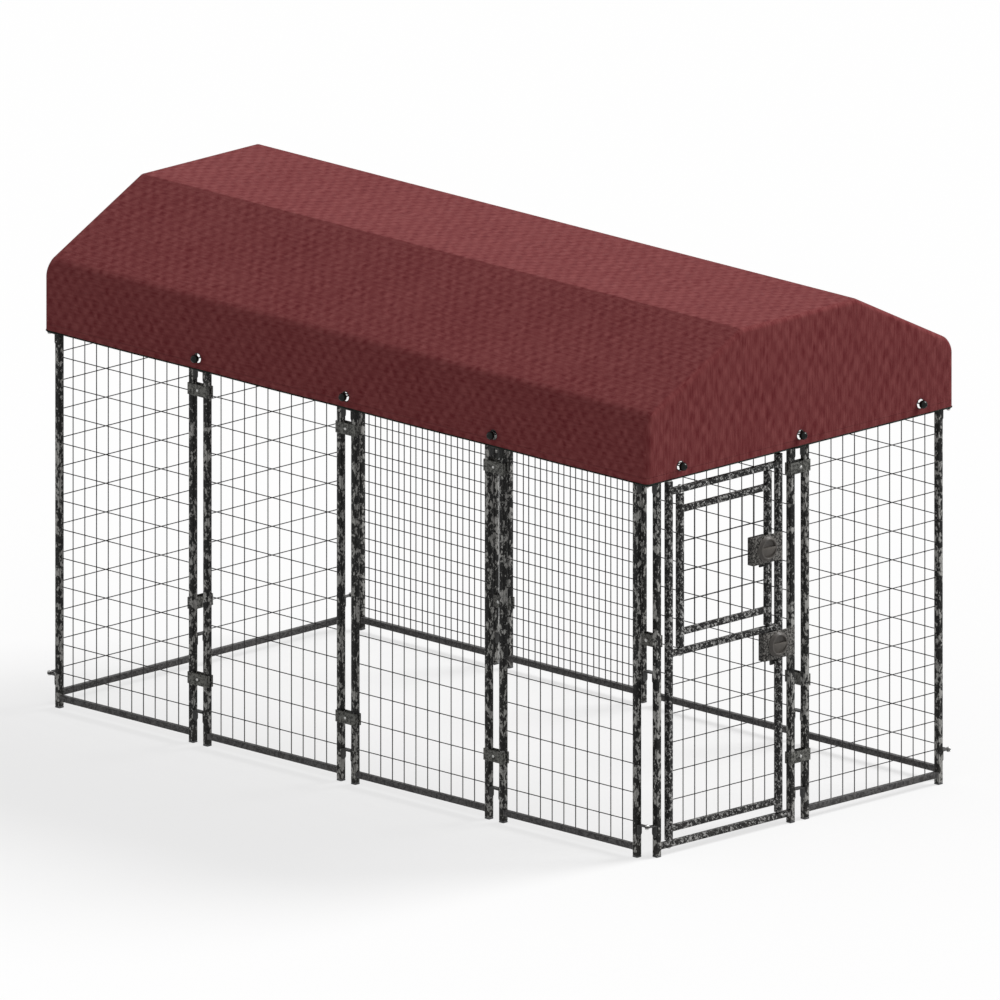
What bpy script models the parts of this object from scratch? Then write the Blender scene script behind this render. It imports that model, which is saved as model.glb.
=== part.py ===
"""A wire dog run: wire panels clamped into a pen, with a door, a hatch in the door and a fitted cover.

Lengths are in metres and +Z is up. The origin is on the ground at the middle of the run, +X runs along
the long sides to the door end, and -Y is on the left of someone who faces the door from outside.
"""

import math

import bmesh
import bpy
from mathutils import Matrix, Vector

# How many panels and wires there are
LONG_PANELS = 4
END_PANELS = 2
PANEL_COLUMNS = 10
DOOR_COLUMNS = 8
HATCH_COLUMNS = 6
PANELS_PER_BOW = 2

# Fits
FIT = 0.0003
RUNNING_GAP = 0.001
WELD = 0.0007
FLAT_ANGLE = math.radians(0.1)

# How finely round pieces are drawn
SMOOTH_ANGLE = math.radians(50)
PIN_SIDES = 8
HOLE_SIDES = 10
HEX_SIDES = 6
KNOB_SIDES = 16
RIDGE_SIDES = 14
RIDGE_BORE_SIDES = 8
GROMMET_SIDES = 8
ELASTIC_SIDES = 6
LOOP_SIDES = 4
CLAMP_BOLT_SIDES = 4
CAM_ROUND_STEPS = 6

# Tube
POST = 0.019
RAIL = 0.018
TUBE_WALL = 0.0015

# Panels
PANEL_PITCH = 0.6096
JOINT_GAP = 0.040
PANEL_HEIGHT = 1.290
RAIL_CLEARANCE = 0.0215
TOP_RAIL_DROP = 0.002
FOOT_CAP = 0.003

# Wire mesh
WIRE = 0.003
HATCH_WIRE = 0.004
WIRE_LAYER_GAP = 0.0003
ROW_PITCH = 0.0866
FIRST_ROW = 0.0661
HATCH_ROW_PITCH = 0.090
HATCH_ROW_MARGIN = 0.0225
HATCH_ROW_DROP = 0.0045
LAST_ROW_MARGIN = 0.012

# Tabs on the posts' outer edges, and the bolts through them at the corners
TAB_THICK = 0.0023
TAB_WIDTH = 0.018
TAB_LEG = 0.033
TAB_EDGE = 0.0057
LOWER_TAB_Z = 0.095
UPPER_TAB_DROP = 0.165
BOLT_RADIUS = 0.003
BOLT_HEAD_RADIUS = 0.0058
BOLT_HEAD_HEIGHT = 0.0036
NUT_HEIGHT = 0.0045

# Clamps at the straight joints
CLAMP_PLATE = 0.0025
CLAMP_HEIGHT = 0.035
CLAMP_SIDE_GAP = 0.0004
LOWER_CLAMP_Z = 0.196
UPPER_CLAMP_DROP = 0.222

# Door
HINGE_SIDE_GAP = 0.0296
LATCH_SIDE_GAP = 0.0315
LINTEL_DROP = 0.150
LINTEL_GAP = 0.008
DOOR_FOOT_GAP = 0.0026
DOOR_LOWER_RAIL_RISE = 0.034
DOOR_MID_RAIL_RISE = 0.5604
DOOR_UPPER_RAIL_DROP = 0.031
DOOR_FIRST_ROW = 0.0755

# Hatch
HATCH_HINGE_GAP = 0.0272
HATCH_LATCH_GAP = 0.0250
HATCH_LOWER_RAIL_RISE = 0.0469
HATCH_UPPER_RAIL_DROP = 0.0494

# Hinge pins
PIN_SHANK_RADIUS = 0.004
PIN_HOLE_RADIUS = 0.0043
PIN_FLANGE_RADIUS = 0.009
PIN_NUT_RADIUS = 0.0065
PIN_NUT_HEIGHT = 0.0032
PIN_PLUG_LENGTH = 0.030

# Latches
LATCH_HEIGHT = 0.081
LATCH_UNDER_RAIL = 0.0010
LATCH_PLATE = 0.0025
LATCH_FLANGE = 0.002
LATCH_EDGE_ROUND = 0.0015
LATCH_PAST_WIRE = 0.0115
LATCH_SHORT_OF_EDGE = 0.0035
SLOT_CLEARANCE = 0.0006
KNOB_RADIUS = 0.0375
KNOB_FRONT_RADIUS = 0.0310
KNOB_SKIRT = 0.0025
KNOB_DEPTH = 0.0105
KNOB_RIM = 0.004
KNOB_FLOOR = 0.0035
KNOB_RECESS_DRAFT = 0.0015
KNOB_BAR_HEIGHT = 0.0135
KNOB_SOCKET_DEPTH = 0.0065
SPINDLE_RADIUS = 0.004
CAM_THICK = 0.004
CAM_WIDTH = 0.016
CAM_LAP = 0.011
CAM_CORNER = 0.002

# Cover
COVER_THICK = 0.0015
COVER_FIT = 0.0005
HEM_DROP = 0.157
EAVE_RISE = 0.041
ROOF_RISE = 0.199
FLAT_HALF = 0.237
EAVE_RADIUS = 0.060
COVER_STEP = math.radians(15)
COVER_CORNER = 0.016
CORNER_SEGMENTS = 3

# Roof frame
BOW_RADIUS = 0.0095
BOW_WALL = 0.0015
BOW_BEND = 0.042
BOW_STEP = math.radians(21)
FOOT_PLATE = 0.003
FOOT_PLATE_MARGIN = 0.0015
PEG_LENGTH = 0.025
PEG_CLEARANCE = 0.0003
RIDGE_RADIUS = 0.0095
CRADLE_LENGTH = 0.012
CRADLE_WIDTH = 0.026

# Ball ties
BALL_RADIUS = 0.0125
BALL_STAND_OFF = 0.0115
GROMMET_RISE = 0.0325
GROMMET_RADIUS = 0.015
ELASTIC_RADIUS = 0.0025
LOOP_RADIUS = 0.002
END_TIE_CELL = 1.575

# Worked out from the sizes above
PANEL_WIDTH = PANEL_PITCH - JOINT_GAP
TAB_REACH = JOINT_GAP - TAB_THICK - RUNNING_GAP / 2
CORNER_REACH = TAB_REACH - TAB_EDGE
HALF_LONG = (LONG_PANELS * PANEL_PITCH - JOINT_GAP) / 2
HALF_END = (END_PANELS * PANEL_PITCH - JOINT_GAP) / 2
END_X = HALF_LONG + CORNER_REACH
SIDE_Y = HALF_END + CORNER_REACH
BORE = POST - 2 * TUBE_WALL
BOTTOM_RAIL_Z = RAIL_CLEARANCE + RAIL / 2
TOP_RAIL_Z = PANEL_HEIGHT - TOP_RAIL_DROP - RAIL / 2
LINTEL_Z = PANEL_HEIGHT - LINTEL_DROP
PANEL_CELL = (PANEL_WIDTH - 2 * POST) / (PANEL_COLUMNS + 1)
HEM_Z = PANEL_HEIGHT - HEM_DROP
TIE_Z = HEM_Z + GROMMET_RISE
CLAMP_OPEN_HALF = WIRE + WIRE_LAYER_GAP / 2 + FIT

# The door and the hatch, measured from the ground and from each one's hinge axis
HINGE_X = POST + HINGE_SIDE_GAP + POST / 2
DOOR_SPAN = PANEL_WIDTH - 3 * POST - HINGE_SIDE_GAP - LATCH_SIDE_GAP
DOOR_FOOT_Z = RAIL_CLEARANCE + RAIL + DOOR_FOOT_GAP
DOOR_TOP_Z = LINTEL_Z - RAIL / 2 - LINTEL_GAP
DOOR_LOWER_RAIL_Z = DOOR_FOOT_Z + DOOR_LOWER_RAIL_RISE
DOOR_MID_RAIL_Z = DOOR_FOOT_Z + DOOR_MID_RAIL_RISE
DOOR_UPPER_RAIL_Z = DOOR_TOP_Z - DOOR_UPPER_RAIL_DROP
DOOR_STOP_OFFSET = POST + LATCH_SIDE_GAP
HATCH_HINGE_X = POST + HATCH_HINGE_GAP
HATCH_SPAN = DOOR_SPAN - HATCH_HINGE_X - POST - HATCH_LATCH_GAP
HATCH_FOOT_Z = DOOR_MID_RAIL_Z + RAIL / 2 + DOOR_FOOT_GAP
HATCH_TOP_Z = DOOR_UPPER_RAIL_Z - RAIL / 2 - DOOR_FOOT_GAP
HATCH_LOWER_RAIL_Z = HATCH_FOOT_Z + HATCH_LOWER_RAIL_RISE
HATCH_UPPER_RAIL_Z = HATCH_TOP_Z - HATCH_UPPER_RAIL_DROP
HATCH_STOP_OFFSET = POST + HATCH_LATCH_GAP
DOOR_CELL = (DOOR_SPAN - POST) / (DOOR_COLUMNS + 1)
HATCH_CELL = (HATCH_SPAN - POST) / (HATCH_COLUMNS + 1)
KNOB_BACK = -POST / 2 - 2 * FIT - LATCH_PLATE

# The cover's outer faces, and the roof frame under it
COVER_HALF_X = END_X + POST / 2 + COVER_FIT + COVER_THICK
COVER_HALF_Y = SIDE_Y + POST / 2 + COVER_FIT + COVER_THICK
EAVE_Z = PANEL_HEIGHT + EAVE_RISE
ROOF_Z = EAVE_Z + ROOF_RISE
ROOF_SLOPE = math.atan2(ROOF_RISE, COVER_HALF_Y - FLAT_HALF)
RIDGE_INSET = COVER_THICK + COVER_FIT + RIDGE_RADIUS
RIDGE_Y = FLAT_HALF - RIDGE_INSET * math.tan(ROOF_SLOPE / 2)
RIDGE_Z = ROOF_Z - RIDGE_INSET
BOW_TOP_Z = RIDGE_Z - RIDGE_RADIUS - RUNNING_GAP - FIT - BOW_RADIUS
BOW_INSET = COVER_THICK + COVER_FIT + BOW_RADIUS
CORNER_SAG = COVER_CORNER * (1 - math.cos(math.pi / 4 / CORNER_SEGMENTS))
EAVE_SAG = EAVE_RADIUS * (1 - math.cos(COVER_STEP / 2))
BOW_CORNER_INSET = EAVE_SAG + max(
    BOW_INSET, COVER_CORNER - (COVER_CORNER - BOW_INSET - CORNER_SAG) * math.sqrt(0.5)
)
BOW_Y = COVER_HALF_Y - BOW_CORNER_INSET
END_BOW_X = COVER_HALF_X - BOW_CORNER_INSET
BOW_EAVE_Z = (
    EAVE_Z + BOW_CORNER_INSET * (math.tan(ROOF_SLOPE) - 1 / math.cos(ROOF_SLOPE))
)
FOOT_PLATE_Z = PANEL_HEIGHT + FIT

# Colours as red, green, blue, then roughness and metallic
FINISHES = {
    "hammered_black": ((0.045, 0.042, 0.040), 0.42, 0.55),
    "door_paint": ((0.060, 0.056, 0.053), 0.42, 0.55),
    "clamp_plate": ((0.070, 0.067, 0.064), 0.50, 0.50),
    "knob_plastic": ((0.075, 0.065, 0.058), 0.38, 0.0),
    "zinc_steel": ((0.30, 0.30, 0.30), 0.40, 0.9),
    "cover_cloth": ((0.17, 0.042, 0.050), 0.85, 0.0),
    "ball_plastic": ((0.012, 0.018, 0.015), 0.30, 0.0),
}


def clear_scene():
    for found in list(bpy.data.objects):
        bpy.data.objects.remove(found, do_unlink=True)


def make_collection(name, is_helper=False):
    made = bpy.data.collections.new(name)
    bpy.context.scene.collection.children.link(made)
    made.hide_render = is_helper
    return made


def make_materials():
    made = {}
    for name, (colour, roughness, metallic) in FINISHES.items():
        material = bpy.data.materials.new(name)
        material.use_nodes = True
        shader = material.node_tree.nodes["Principled BSDF"]
        shader.inputs["Base Color"].default_value = (*colour, 1.0)
        shader.inputs["Roughness"].default_value = roughness
        shader.inputs["Metallic"].default_value = metallic
        material.diffuse_color = (*colour, 1.0)
        made[name] = material
    return made


def solid_from(bm):
    """A working solid in the cutters collection, made from a bmesh."""
    mesh = bpy.data.meshes.new("solid")
    bmesh.ops.recalc_face_normals(bm, faces=bm.faces)
    bm.to_mesh(mesh)
    bm.free()
    solid = bpy.data.objects.new("solid", mesh)
    solid.hide_render = True
    solid.display_type = "WIRE"
    cutters.objects.link(solid)
    return solid


def add_box(bm, low, high):
    """Adds a box between two corners to a bmesh."""
    low = Vector(low)
    high = Vector(high)
    size = Matrix.Diagonal((*(high - low), 1.0))
    bmesh.ops.create_cube(bm, size=1.0, matrix=Matrix.Translation((low + high) / 2) @ size)


def boxes(*corners):
    """One solid of separate boxes, each given by its lowest and highest corner."""
    bm = bmesh.new()
    for low, high in corners:
        add_box(bm, low, high)
    return solid_from(bm)


def add_rod(bm, start, end, radius, sides):
    start = Vector(start)
    end = Vector(end)
    turn = (end - start).to_track_quat("Z", "Y").to_matrix().to_4x4()
    bmesh.ops.create_cone(
        bm,
        cap_ends=True,
        segments=sides,
        radius1=radius,
        radius2=radius,
        depth=(end - start).length,
        matrix=Matrix.Translation((start + end) / 2) @ turn @ Matrix.Rotation(math.pi / sides, 4, "Z"),
    )


def rods(radius, sides, *ends):
    """One solid of separate round rods, each given by its two ends."""
    bm = bmesh.new()
    for start, end in ends:
        add_rod(bm, start, end, radius, sides)
    return solid_from(bm)


def around(radius, sides):
    """The corner radius of a hole with flat sides that a round bar of this radius just fills."""
    return radius / math.cos(math.pi / sides)


def outline(points, thickness):
    """A flat outline in X and Y, as thick as it says along Z on both sides of zero."""
    curve = bpy.data.curves.new("outline", "CURVE")
    curve.dimensions = "2D"
    curve.fill_mode = "BOTH"
    curve.extrude = thickness / 2
    spline = curve.splines.new("POLY")
    spline.points.add(len(points) - 1)
    for point, (x, y) in zip(spline.points, points):
        point.co = (x, y, 0.0, 1.0)
    spline.use_cyclic_u = True
    return solid_from_curve(curve)


def sweep(points, radius, resolution):
    """A round bar along points, closed at its ends."""
    curve = bpy.data.curves.new("sweep", "CURVE")
    curve.dimensions = "3D"
    curve.bevel_depth = radius
    curve.bevel_resolution = resolution
    curve.use_fill_caps = True
    spline = curve.splines.new("POLY")
    spline.points.add(len(points) - 1)
    for point, place in zip(spline.points, points):
        point.co = (*place, 1.0)
    return solid_from_curve(curve)


def solid_from_curve(curve):
    """The mesh of a curve, with its caps welded on."""
    drawn = bpy.data.objects.new("drawn", curve)
    cutters.objects.link(drawn)
    graph = bpy.context.evaluated_depsgraph_get()
    mesh = bpy.data.meshes.new_from_object(drawn.evaluated_get(graph))
    bpy.data.objects.remove(drawn, do_unlink=True)
    bm = bmesh.new()
    bm.from_mesh(mesh)
    bpy.data.meshes.remove(mesh)
    bmesh.ops.remove_doubles(bm, verts=bm.verts, dist=1e-6)
    bmesh.ops.dissolve_limit(bm, angle_limit=FLAT_ANGLE, verts=bm.verts, edges=bm.edges)
    return solid_from(bm)


def turned(profile, sides):
    """A turned solid about Z. The profile holds radius and height, and starts and ends on the axis."""
    bm = bmesh.new()
    verts = [bm.verts.new((radius, 0.0, height)) for radius, height in profile]
    for first, second in zip(verts, verts[1:]):
        bm.edges.new((first, second))
    solid = solid_from(bm)
    screw = solid.modifiers.new("turn", "SCREW")
    screw.steps = sides
    screw.render_steps = sides
    screw.use_merge_vertices = True
    screw.merge_threshold = 1e-5
    bake(solid)
    return solid


def bake(solid):
    """Replaces a solid's mesh by what its modifiers make of it."""
    graph = bpy.context.evaluated_depsgraph_get()
    mesh = bpy.data.meshes.new_from_object(solid.evaluated_get(graph))
    plain = solid.data
    solid.modifiers.clear()
    solid.data = mesh
    bpy.data.meshes.remove(plain)
    bm = bmesh.new()
    bm.from_mesh(mesh)
    bmesh.ops.recalc_face_normals(bm, faces=bm.faces)
    bm.to_mesh(mesh)
    bm.free()


def moved(solid, *steps):
    """Moves a solid's mesh by each matrix in turn."""
    for step in steps:
        solid.data.transform(step)
    return solid


def combine(solid, other, operation):
    """Joins another solid to this one or cuts it away, and removes the other."""
    boolean = solid.modifiers.new("boolean", "BOOLEAN")
    boolean.operation = operation
    boolean.solver = "EXACT"
    boolean.object = other
    graph = bpy.context.evaluated_depsgraph_get()
    mesh = bpy.data.meshes.new_from_object(solid.evaluated_get(graph))
    plain = solid.data
    solid.modifiers.clear()
    solid.data = mesh
    bpy.data.meshes.remove(plain)
    bpy.data.objects.remove(other, do_unlink=True)
    return solid


def join(solid, *others):
    for other in others:
        combine(solid, other, "UNION")
    return solid


def cut(solid, *others):
    for other in others:
        combine(solid, other, "DIFFERENCE")
    return solid


def place(name, mesh, finish, location=(0, 0, 0), turn=0.0, parent=None):
    """Puts a mesh into the run as a named piece with a material of its own."""
    piece = bpy.data.objects.new(name, mesh)
    run.objects.link(piece)
    material = materials[finish].copy()
    material.name = name + "_" + finish
    if not mesh.materials:
        mesh.materials.append(material)
    piece.material_slots[0].link = "OBJECT"
    piece.material_slots[0].material = material
    piece.location = location
    piece.rotation_euler = (0.0, 0.0, turn)
    piece.parent = parent
    return piece


def smooth(mesh):
    """Shades round faces smooth and keeps the corners sharp."""
    mesh.shade_smooth()
    mesh.set_sharp_from_angle(angle=SMOOTH_ANGLE)


def mesh_of(solid):
    """The mesh of a finished working solid, which is then removed."""
    mesh = solid.data
    mesh.materials.clear()
    smooth(mesh)
    bpy.data.objects.remove(solid, do_unlink=True)
    return mesh


def axis_point(name, location, turn=0.0, parent=None):
    """An empty on a joint's axis, to which the pieces that turn about it are parented."""
    empty = bpy.data.objects.new(name, None)
    run.objects.link(empty)
    empty.location = location
    empty.rotation_euler = (0.0, 0.0, turn)
    empty.parent = parent
    return empty


def tube_frame(uprights, rails, is_capped):
    """Square tubes welded into a frame in the plane Y = 0, hollow all through.

    An upright is its middle in X, its foot and its top. A rail is its two ends, which are the middles of
    the uprights that it joins, and its height.
    """
    half = POST / 2
    frame = boxes(*(((x - half, -half, low), (x + half, half, high)) for x, low, high in uprights))
    half = RAIL / 2
    join(frame, boxes(*(((x, -half, z - half), (end, half, z + half)) for x, end, z in rails)))
    half = BORE / 2
    foot = FOOT_CAP if is_capped else -TUBE_WALL
    bores = boxes(
        *(((x - half, -half, low + foot), (x + half, half, high + TUBE_WALL)) for x, low, high in uprights)
    )
    half = RAIL / 2 - TUBE_WALL
    join(bores, boxes(*(((x, -half, z - half), (end, half, z + half)) for x, end, z in rails)))
    return cut(frame, bores)


def wire_columns(left, right, count):
    """The places of evenly spaced wires between two uprights' inner faces."""
    cell = (right - left) / (count + 1)
    return [left + cell * (index + 1) for index in range(count)]


def wire_rows(first, pitch, top):
    """The heights of wires that rise by the pitch and stay below the top."""
    rows = []
    while first + len(rows) * pitch < top:
        rows.append(first + len(rows) * pitch)
    return rows


def wire_boxes(columns, rows, left, right, low, high, wire, near, past):
    """Upright wires on the outside and level wires behind them, as two lists of boxes.

    Each wire's inner face is this near to the middle plane, and its ends go this far past the frame's faces.
    """
    half = wire / 2
    upright = [((x - half, -near - wire, low - past), (x + half, -near, high + past)) for x in columns]
    level = [((left - past, near, z - half), (right + past, near + wire, z + half)) for z in rows]
    return upright, level


def welded_wires(*spread):
    """Wires welded to the frame that they are joined to, in two layers that keep a gap."""
    upright, level = wire_boxes(*spread, near=WIRE_LAYER_GAP / 2, past=WELD)
    return boxes(*upright, *level)


def wire_sheet(*spread):
    """Wires sunk into each other where they cross, as a sheet that just fits in its frame."""
    upright, level = wire_boxes(*spread, near=-WELD / 2, past=-FIT)
    return join(boxes(*upright), boxes(*level))


def tab_solids(x_face, direction, z_plates):
    """Bent tabs on a post's outer edge: a leg welded to the post, and a level plate with a bolt hole."""
    legs = []
    for z in z_plates:
        points = [
            (-WELD, z + TAB_THICK - TAB_LEG),
            (TAB_THICK, z + TAB_THICK - TAB_LEG),
            (TAB_THICK, z),
            (TAB_REACH, z),
            (TAB_REACH, z + TAB_THICK),
            (-WELD, z + TAB_THICK),
        ]
        legs.append([(x_face + direction * x, height) for x, height in points])
    stand = Matrix.Rotation(math.pi / 2, 4, "X")
    solids = [moved(outline(points, TAB_WIDTH), stand) for points in legs]
    hole_x = x_face + direction * CORNER_REACH
    hole_radius = around(BOLT_RADIUS + FIT, HEX_SIDES)
    for solid, z in zip(solids, z_plates):
        reach = 2 * TAB_THICK
        cut(solid, rods(hole_radius, HEX_SIDES, ((hole_x, 0, z - reach), (hole_x, 0, z + reach))))
    return solids


def edge_tabs():
    """The four tabs of a panel. The start's lie one thickness lower, so that neighbours' tabs overlap."""
    upper = PANEL_HEIGHT - UPPER_TAB_DROP
    lift = TAB_THICK + FIT
    start = tab_solids(0.0, -1.0, (LOWER_TAB_Z, upper))
    end = tab_solids(PANEL_WIDTH, 1.0, (LOWER_TAB_Z + lift, upper + lift))
    return start + end


def panel_uprights():
    return [(POST / 2, 0.0, PANEL_HEIGHT), (PANEL_WIDTH - POST / 2, 0.0, PANEL_HEIGHT)]


def panel_rail(z):
    return (POST / 2, PANEL_WIDTH - POST / 2, z)


def plain_panel():
    """A panel from its start at X = 0, outside towards -Y."""
    frame = tube_frame(panel_uprights(), [panel_rail(BOTTOM_RAIL_Z), panel_rail(TOP_RAIL_Z)], True)
    left = POST
    right = PANEL_WIDTH - POST
    low = BOTTOM_RAIL_Z + RAIL / 2
    high = TOP_RAIL_Z - RAIL / 2
    rows = wire_rows(low + FIRST_ROW, ROW_PITCH, high - LAST_ROW_MARGIN)
    columns = wire_columns(left, right, PANEL_COLUMNS)
    join(frame, welded_wires(columns, rows, left, right, low, high, WIRE), *edge_tabs())
    return frame


def pin_holes(x, *rail_heights):
    """Holes for hinge pins, down through the rails at these heights."""
    reach = RAIL / 2 + TUBE_WALL
    return rods(
        PIN_HOLE_RADIUS,
        HOLE_SIDES,
        *(((x, 0.0, z - reach), (x, 0.0, z + reach)) for z in rail_heights),
    )


def door_frame():
    """The panel that the door hangs in, with a doorway below a lintel."""
    rails = [panel_rail(z) for z in (BOTTOM_RAIL_Z, LINTEL_Z, TOP_RAIL_Z)]
    frame = join(tube_frame(panel_uprights(), rails, True), *edge_tabs())
    return cut(frame, pin_holes(HINGE_X, BOTTOM_RAIL_Z, LINTEL_Z))


def door_frame_mesh():
    """The wire between the door frame's lintel and its top rail."""
    left = POST
    right = PANEL_WIDTH - POST
    low = LINTEL_Z + RAIL / 2
    high = TOP_RAIL_Z - RAIL / 2
    grid = wire_rows(BOTTOM_RAIL_Z + RAIL / 2 + FIRST_ROW, ROW_PITCH, high - LAST_ROW_MARGIN)
    rows = [z for z in grid if z > TIE_Z + LAST_ROW_MARGIN]
    columns = wire_columns(left, right, PANEL_COLUMNS)
    return wire_sheet(columns, rows, left, right, low, high, WIRE)


def door_rows():
    """Level wires of the door's lower half. The highest stays below the latch."""
    low = DOOR_LOWER_RAIL_Z + RAIL / 2
    latch_foot = main_latch_z() - LATCH_HEIGHT / 2
    return wire_rows(low + DOOR_FIRST_ROW, ROW_PITCH, latch_foot - WIRE / 2 - FIT)


def main_latch_z():
    """The middle height of the door's latch, which hangs a little under the middle rail."""
    return DOOR_MID_RAIL_Z - RAIL / 2 - LATCH_UNDER_RAIL - LATCH_HEIGHT / 2


def door_leaf():
    """The door's tubes, from its hinge axis at X = 0, with an opening for the hatch in the upper half."""
    uprights = [(0.0, DOOR_FOOT_Z, DOOR_TOP_Z), (DOOR_SPAN, DOOR_FOOT_Z, DOOR_TOP_Z)]
    heights = (DOOR_LOWER_RAIL_Z, DOOR_MID_RAIL_Z, DOOR_UPPER_RAIL_Z)
    frame = tube_frame(uprights, [(0.0, DOOR_SPAN, z) for z in heights], False)
    return cut(frame, pin_holes(HATCH_HINGE_X, DOOR_MID_RAIL_Z, DOOR_UPPER_RAIL_Z))


def door_mesh():
    """The wire of the door's lower half, from the same axis."""
    low = DOOR_LOWER_RAIL_Z + RAIL / 2
    high = DOOR_MID_RAIL_Z - RAIL / 2
    left = POST / 2
    right = DOOR_SPAN - left
    columns = wire_columns(left, right, DOOR_COLUMNS)
    return wire_sheet(columns, door_rows(), left, right, low, high, WIRE)


def hatch_rows():
    """Level wires of the hatch, spread from a little under the middle between its rails."""
    low = HATCH_LOWER_RAIL_Z + RAIL / 2
    high = HATCH_UPPER_RAIL_Z - RAIL / 2
    each_way = int(((high - low) / 2 - HATCH_ROW_MARGIN) / HATCH_ROW_PITCH)
    middle = (low + high) / 2 - HATCH_ROW_DROP
    return [middle + step * HATCH_ROW_PITCH for step in range(-each_way, each_way + 1)]


def hatch_leaf():
    """The hatch, from its hinge axis at X = 0."""
    half = POST / 2
    uprights = [(0.0, HATCH_FOOT_Z, HATCH_TOP_Z), (HATCH_SPAN, HATCH_FOOT_Z, HATCH_TOP_Z)]
    rails = [(0.0, HATCH_SPAN, HATCH_LOWER_RAIL_Z), (0.0, HATCH_SPAN, HATCH_UPPER_RAIL_Z)]
    frame = tube_frame(uprights, rails, False)
    low = HATCH_LOWER_RAIL_Z + RAIL / 2
    high = HATCH_UPPER_RAIL_Z - RAIL / 2
    right = HATCH_SPAN - half
    columns = wire_columns(half, right, HATCH_COLUMNS)
    return join(frame, welded_wires(columns, hatch_rows(), half, right, low, high, HATCH_WIRE))


def hinge_pin(rail_z, towards_leaf, gap):
    """A pin through a rail: a nut, a shank, a flange that carries the leaf, and a plug in the leaf's tube.

    It is made pointing up from the rail's face at zero, and turned over where the leaf is below.
    """
    flange_top = gap - FIT
    nut_low = -RAIL - FIT - PIN_NUT_HEIGHT
    plug_radius = BORE / 2 - FIT
    profile = [
        (0.0, nut_low),
        (PIN_NUT_RADIUS, nut_low),
        (PIN_NUT_RADIUS, -RAIL - FIT),
        (PIN_SHANK_RADIUS, -RAIL - FIT),
        (PIN_SHANK_RADIUS, FIT),
        (PIN_FLANGE_RADIUS, FIT),
        (PIN_FLANGE_RADIUS, flange_top),
        (plug_radius, flange_top),
        (plug_radius, flange_top + PIN_PLUG_LENGTH),
        (0.0, flange_top + PIN_PLUG_LENGTH),
    ]
    pin = turned(profile, PIN_SIDES)
    if towards_leaf < 0:
        moved(pin, Matrix.Rotation(math.pi, 4, "X"))
    return moved(pin, Matrix.Translation((0.0, 0.0, rail_z + towards_leaf * RAIL / 2)))


def add_hinge_pins():
    """Two pins for each leaf. The door's stand in the door frame, and the hatch's in the door."""
    pins = (
        ("main_door_pin_lower", BOTTOM_RAIL_Z, 1, DOOR_FOOT_GAP, door_axis),
        ("main_door_pin_upper", LINTEL_Z, -1, LINTEL_GAP, door_axis),
        ("hatch_pin_lower", DOOR_MID_RAIL_Z, 1, DOOR_FOOT_GAP, hatch_axis),
        ("hatch_pin_upper", DOOR_UPPER_RAIL_Z, -1, DOOR_FOOT_GAP, hatch_axis),
    )
    for name, rail_z, towards_leaf, gap, axis in pins:
        place(name, mesh_of(hinge_pin(rail_z, towards_leaf, gap)), "zinc_steel", parent=axis)


def latch_housing(cell, stop_offset, wire, crossing_rows):
    """A pressed box at a stile's middle X = 0 and height 0: a front plate with flanges behind it.

    The plate runs from past the last upright wire, over the stile and the gap beyond it, and laps the
    stop that the leaf closes on. The flanges end at the stile, with slots where wires pass through them.
    """
    left = -POST / 2 - cell - LATCH_PAST_WIRE
    right = stop_offset + POST / 2 - LATCH_SHORT_OF_EDGE
    flange_end = -POST / 2 - RUNNING_GAP
    front = -POST / 2 - FIT - LATCH_PLATE
    back = POST / 2 - FIT
    half = LATCH_HEIGHT / 2
    past = 2 * LATCH_PLATE
    bm = bmesh.new()
    add_box(bm, (left, front, -half), (right, back, half))
    rounded = [
        edge
        for edge in bm.edges
        if all(abs(vert.co.y - front) < 1e-6 for vert in edge.verts)
    ]
    bmesh.ops.bevel(bm, geom=rounded, offset=LATCH_EDGE_ROUND, segments=1, affect="EDGES")
    housing = solid_from(bm)
    inside = front + LATCH_PLATE
    behind = back + past
    inner = half - LATCH_FLANGE
    hollow = boxes(((left + LATCH_FLANGE, inside, -inner), (flange_end + past, behind, inner)))
    beyond_flanges = boxes(((flange_end, inside, -half - past), (right + past, behind, half + past)))
    cut(housing, hollow, beyond_flanges)
    slot = wire / 2 + SLOT_CLEARANCE
    near = WIRE_LAYER_GAP / 2 + wire + SLOT_CLEARANCE
    wire_x = -POST / 2 - cell
    cut(housing, boxes(((wire_x - slot, -near, -half - past), (wire_x + slot, behind, half + past))))
    for z in crossing_rows:
        cut(housing, boxes(((left - past, -SLOT_CLEARANCE, z - slot), (left + past, behind, z + slot))))
    x = spindle_x()
    hole = rods(SPINDLE_RADIUS + FIT, HOLE_SIDES, ((x, front - past, 0.0), (x, inside + past, 0.0)))
    return cut(housing, hole)


def spindle_x():
    """Where a latch's spindle passes its stile, from the stile's middle."""
    return -POST / 2 - SPINDLE_RADIUS - RUNNING_GAP


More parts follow.
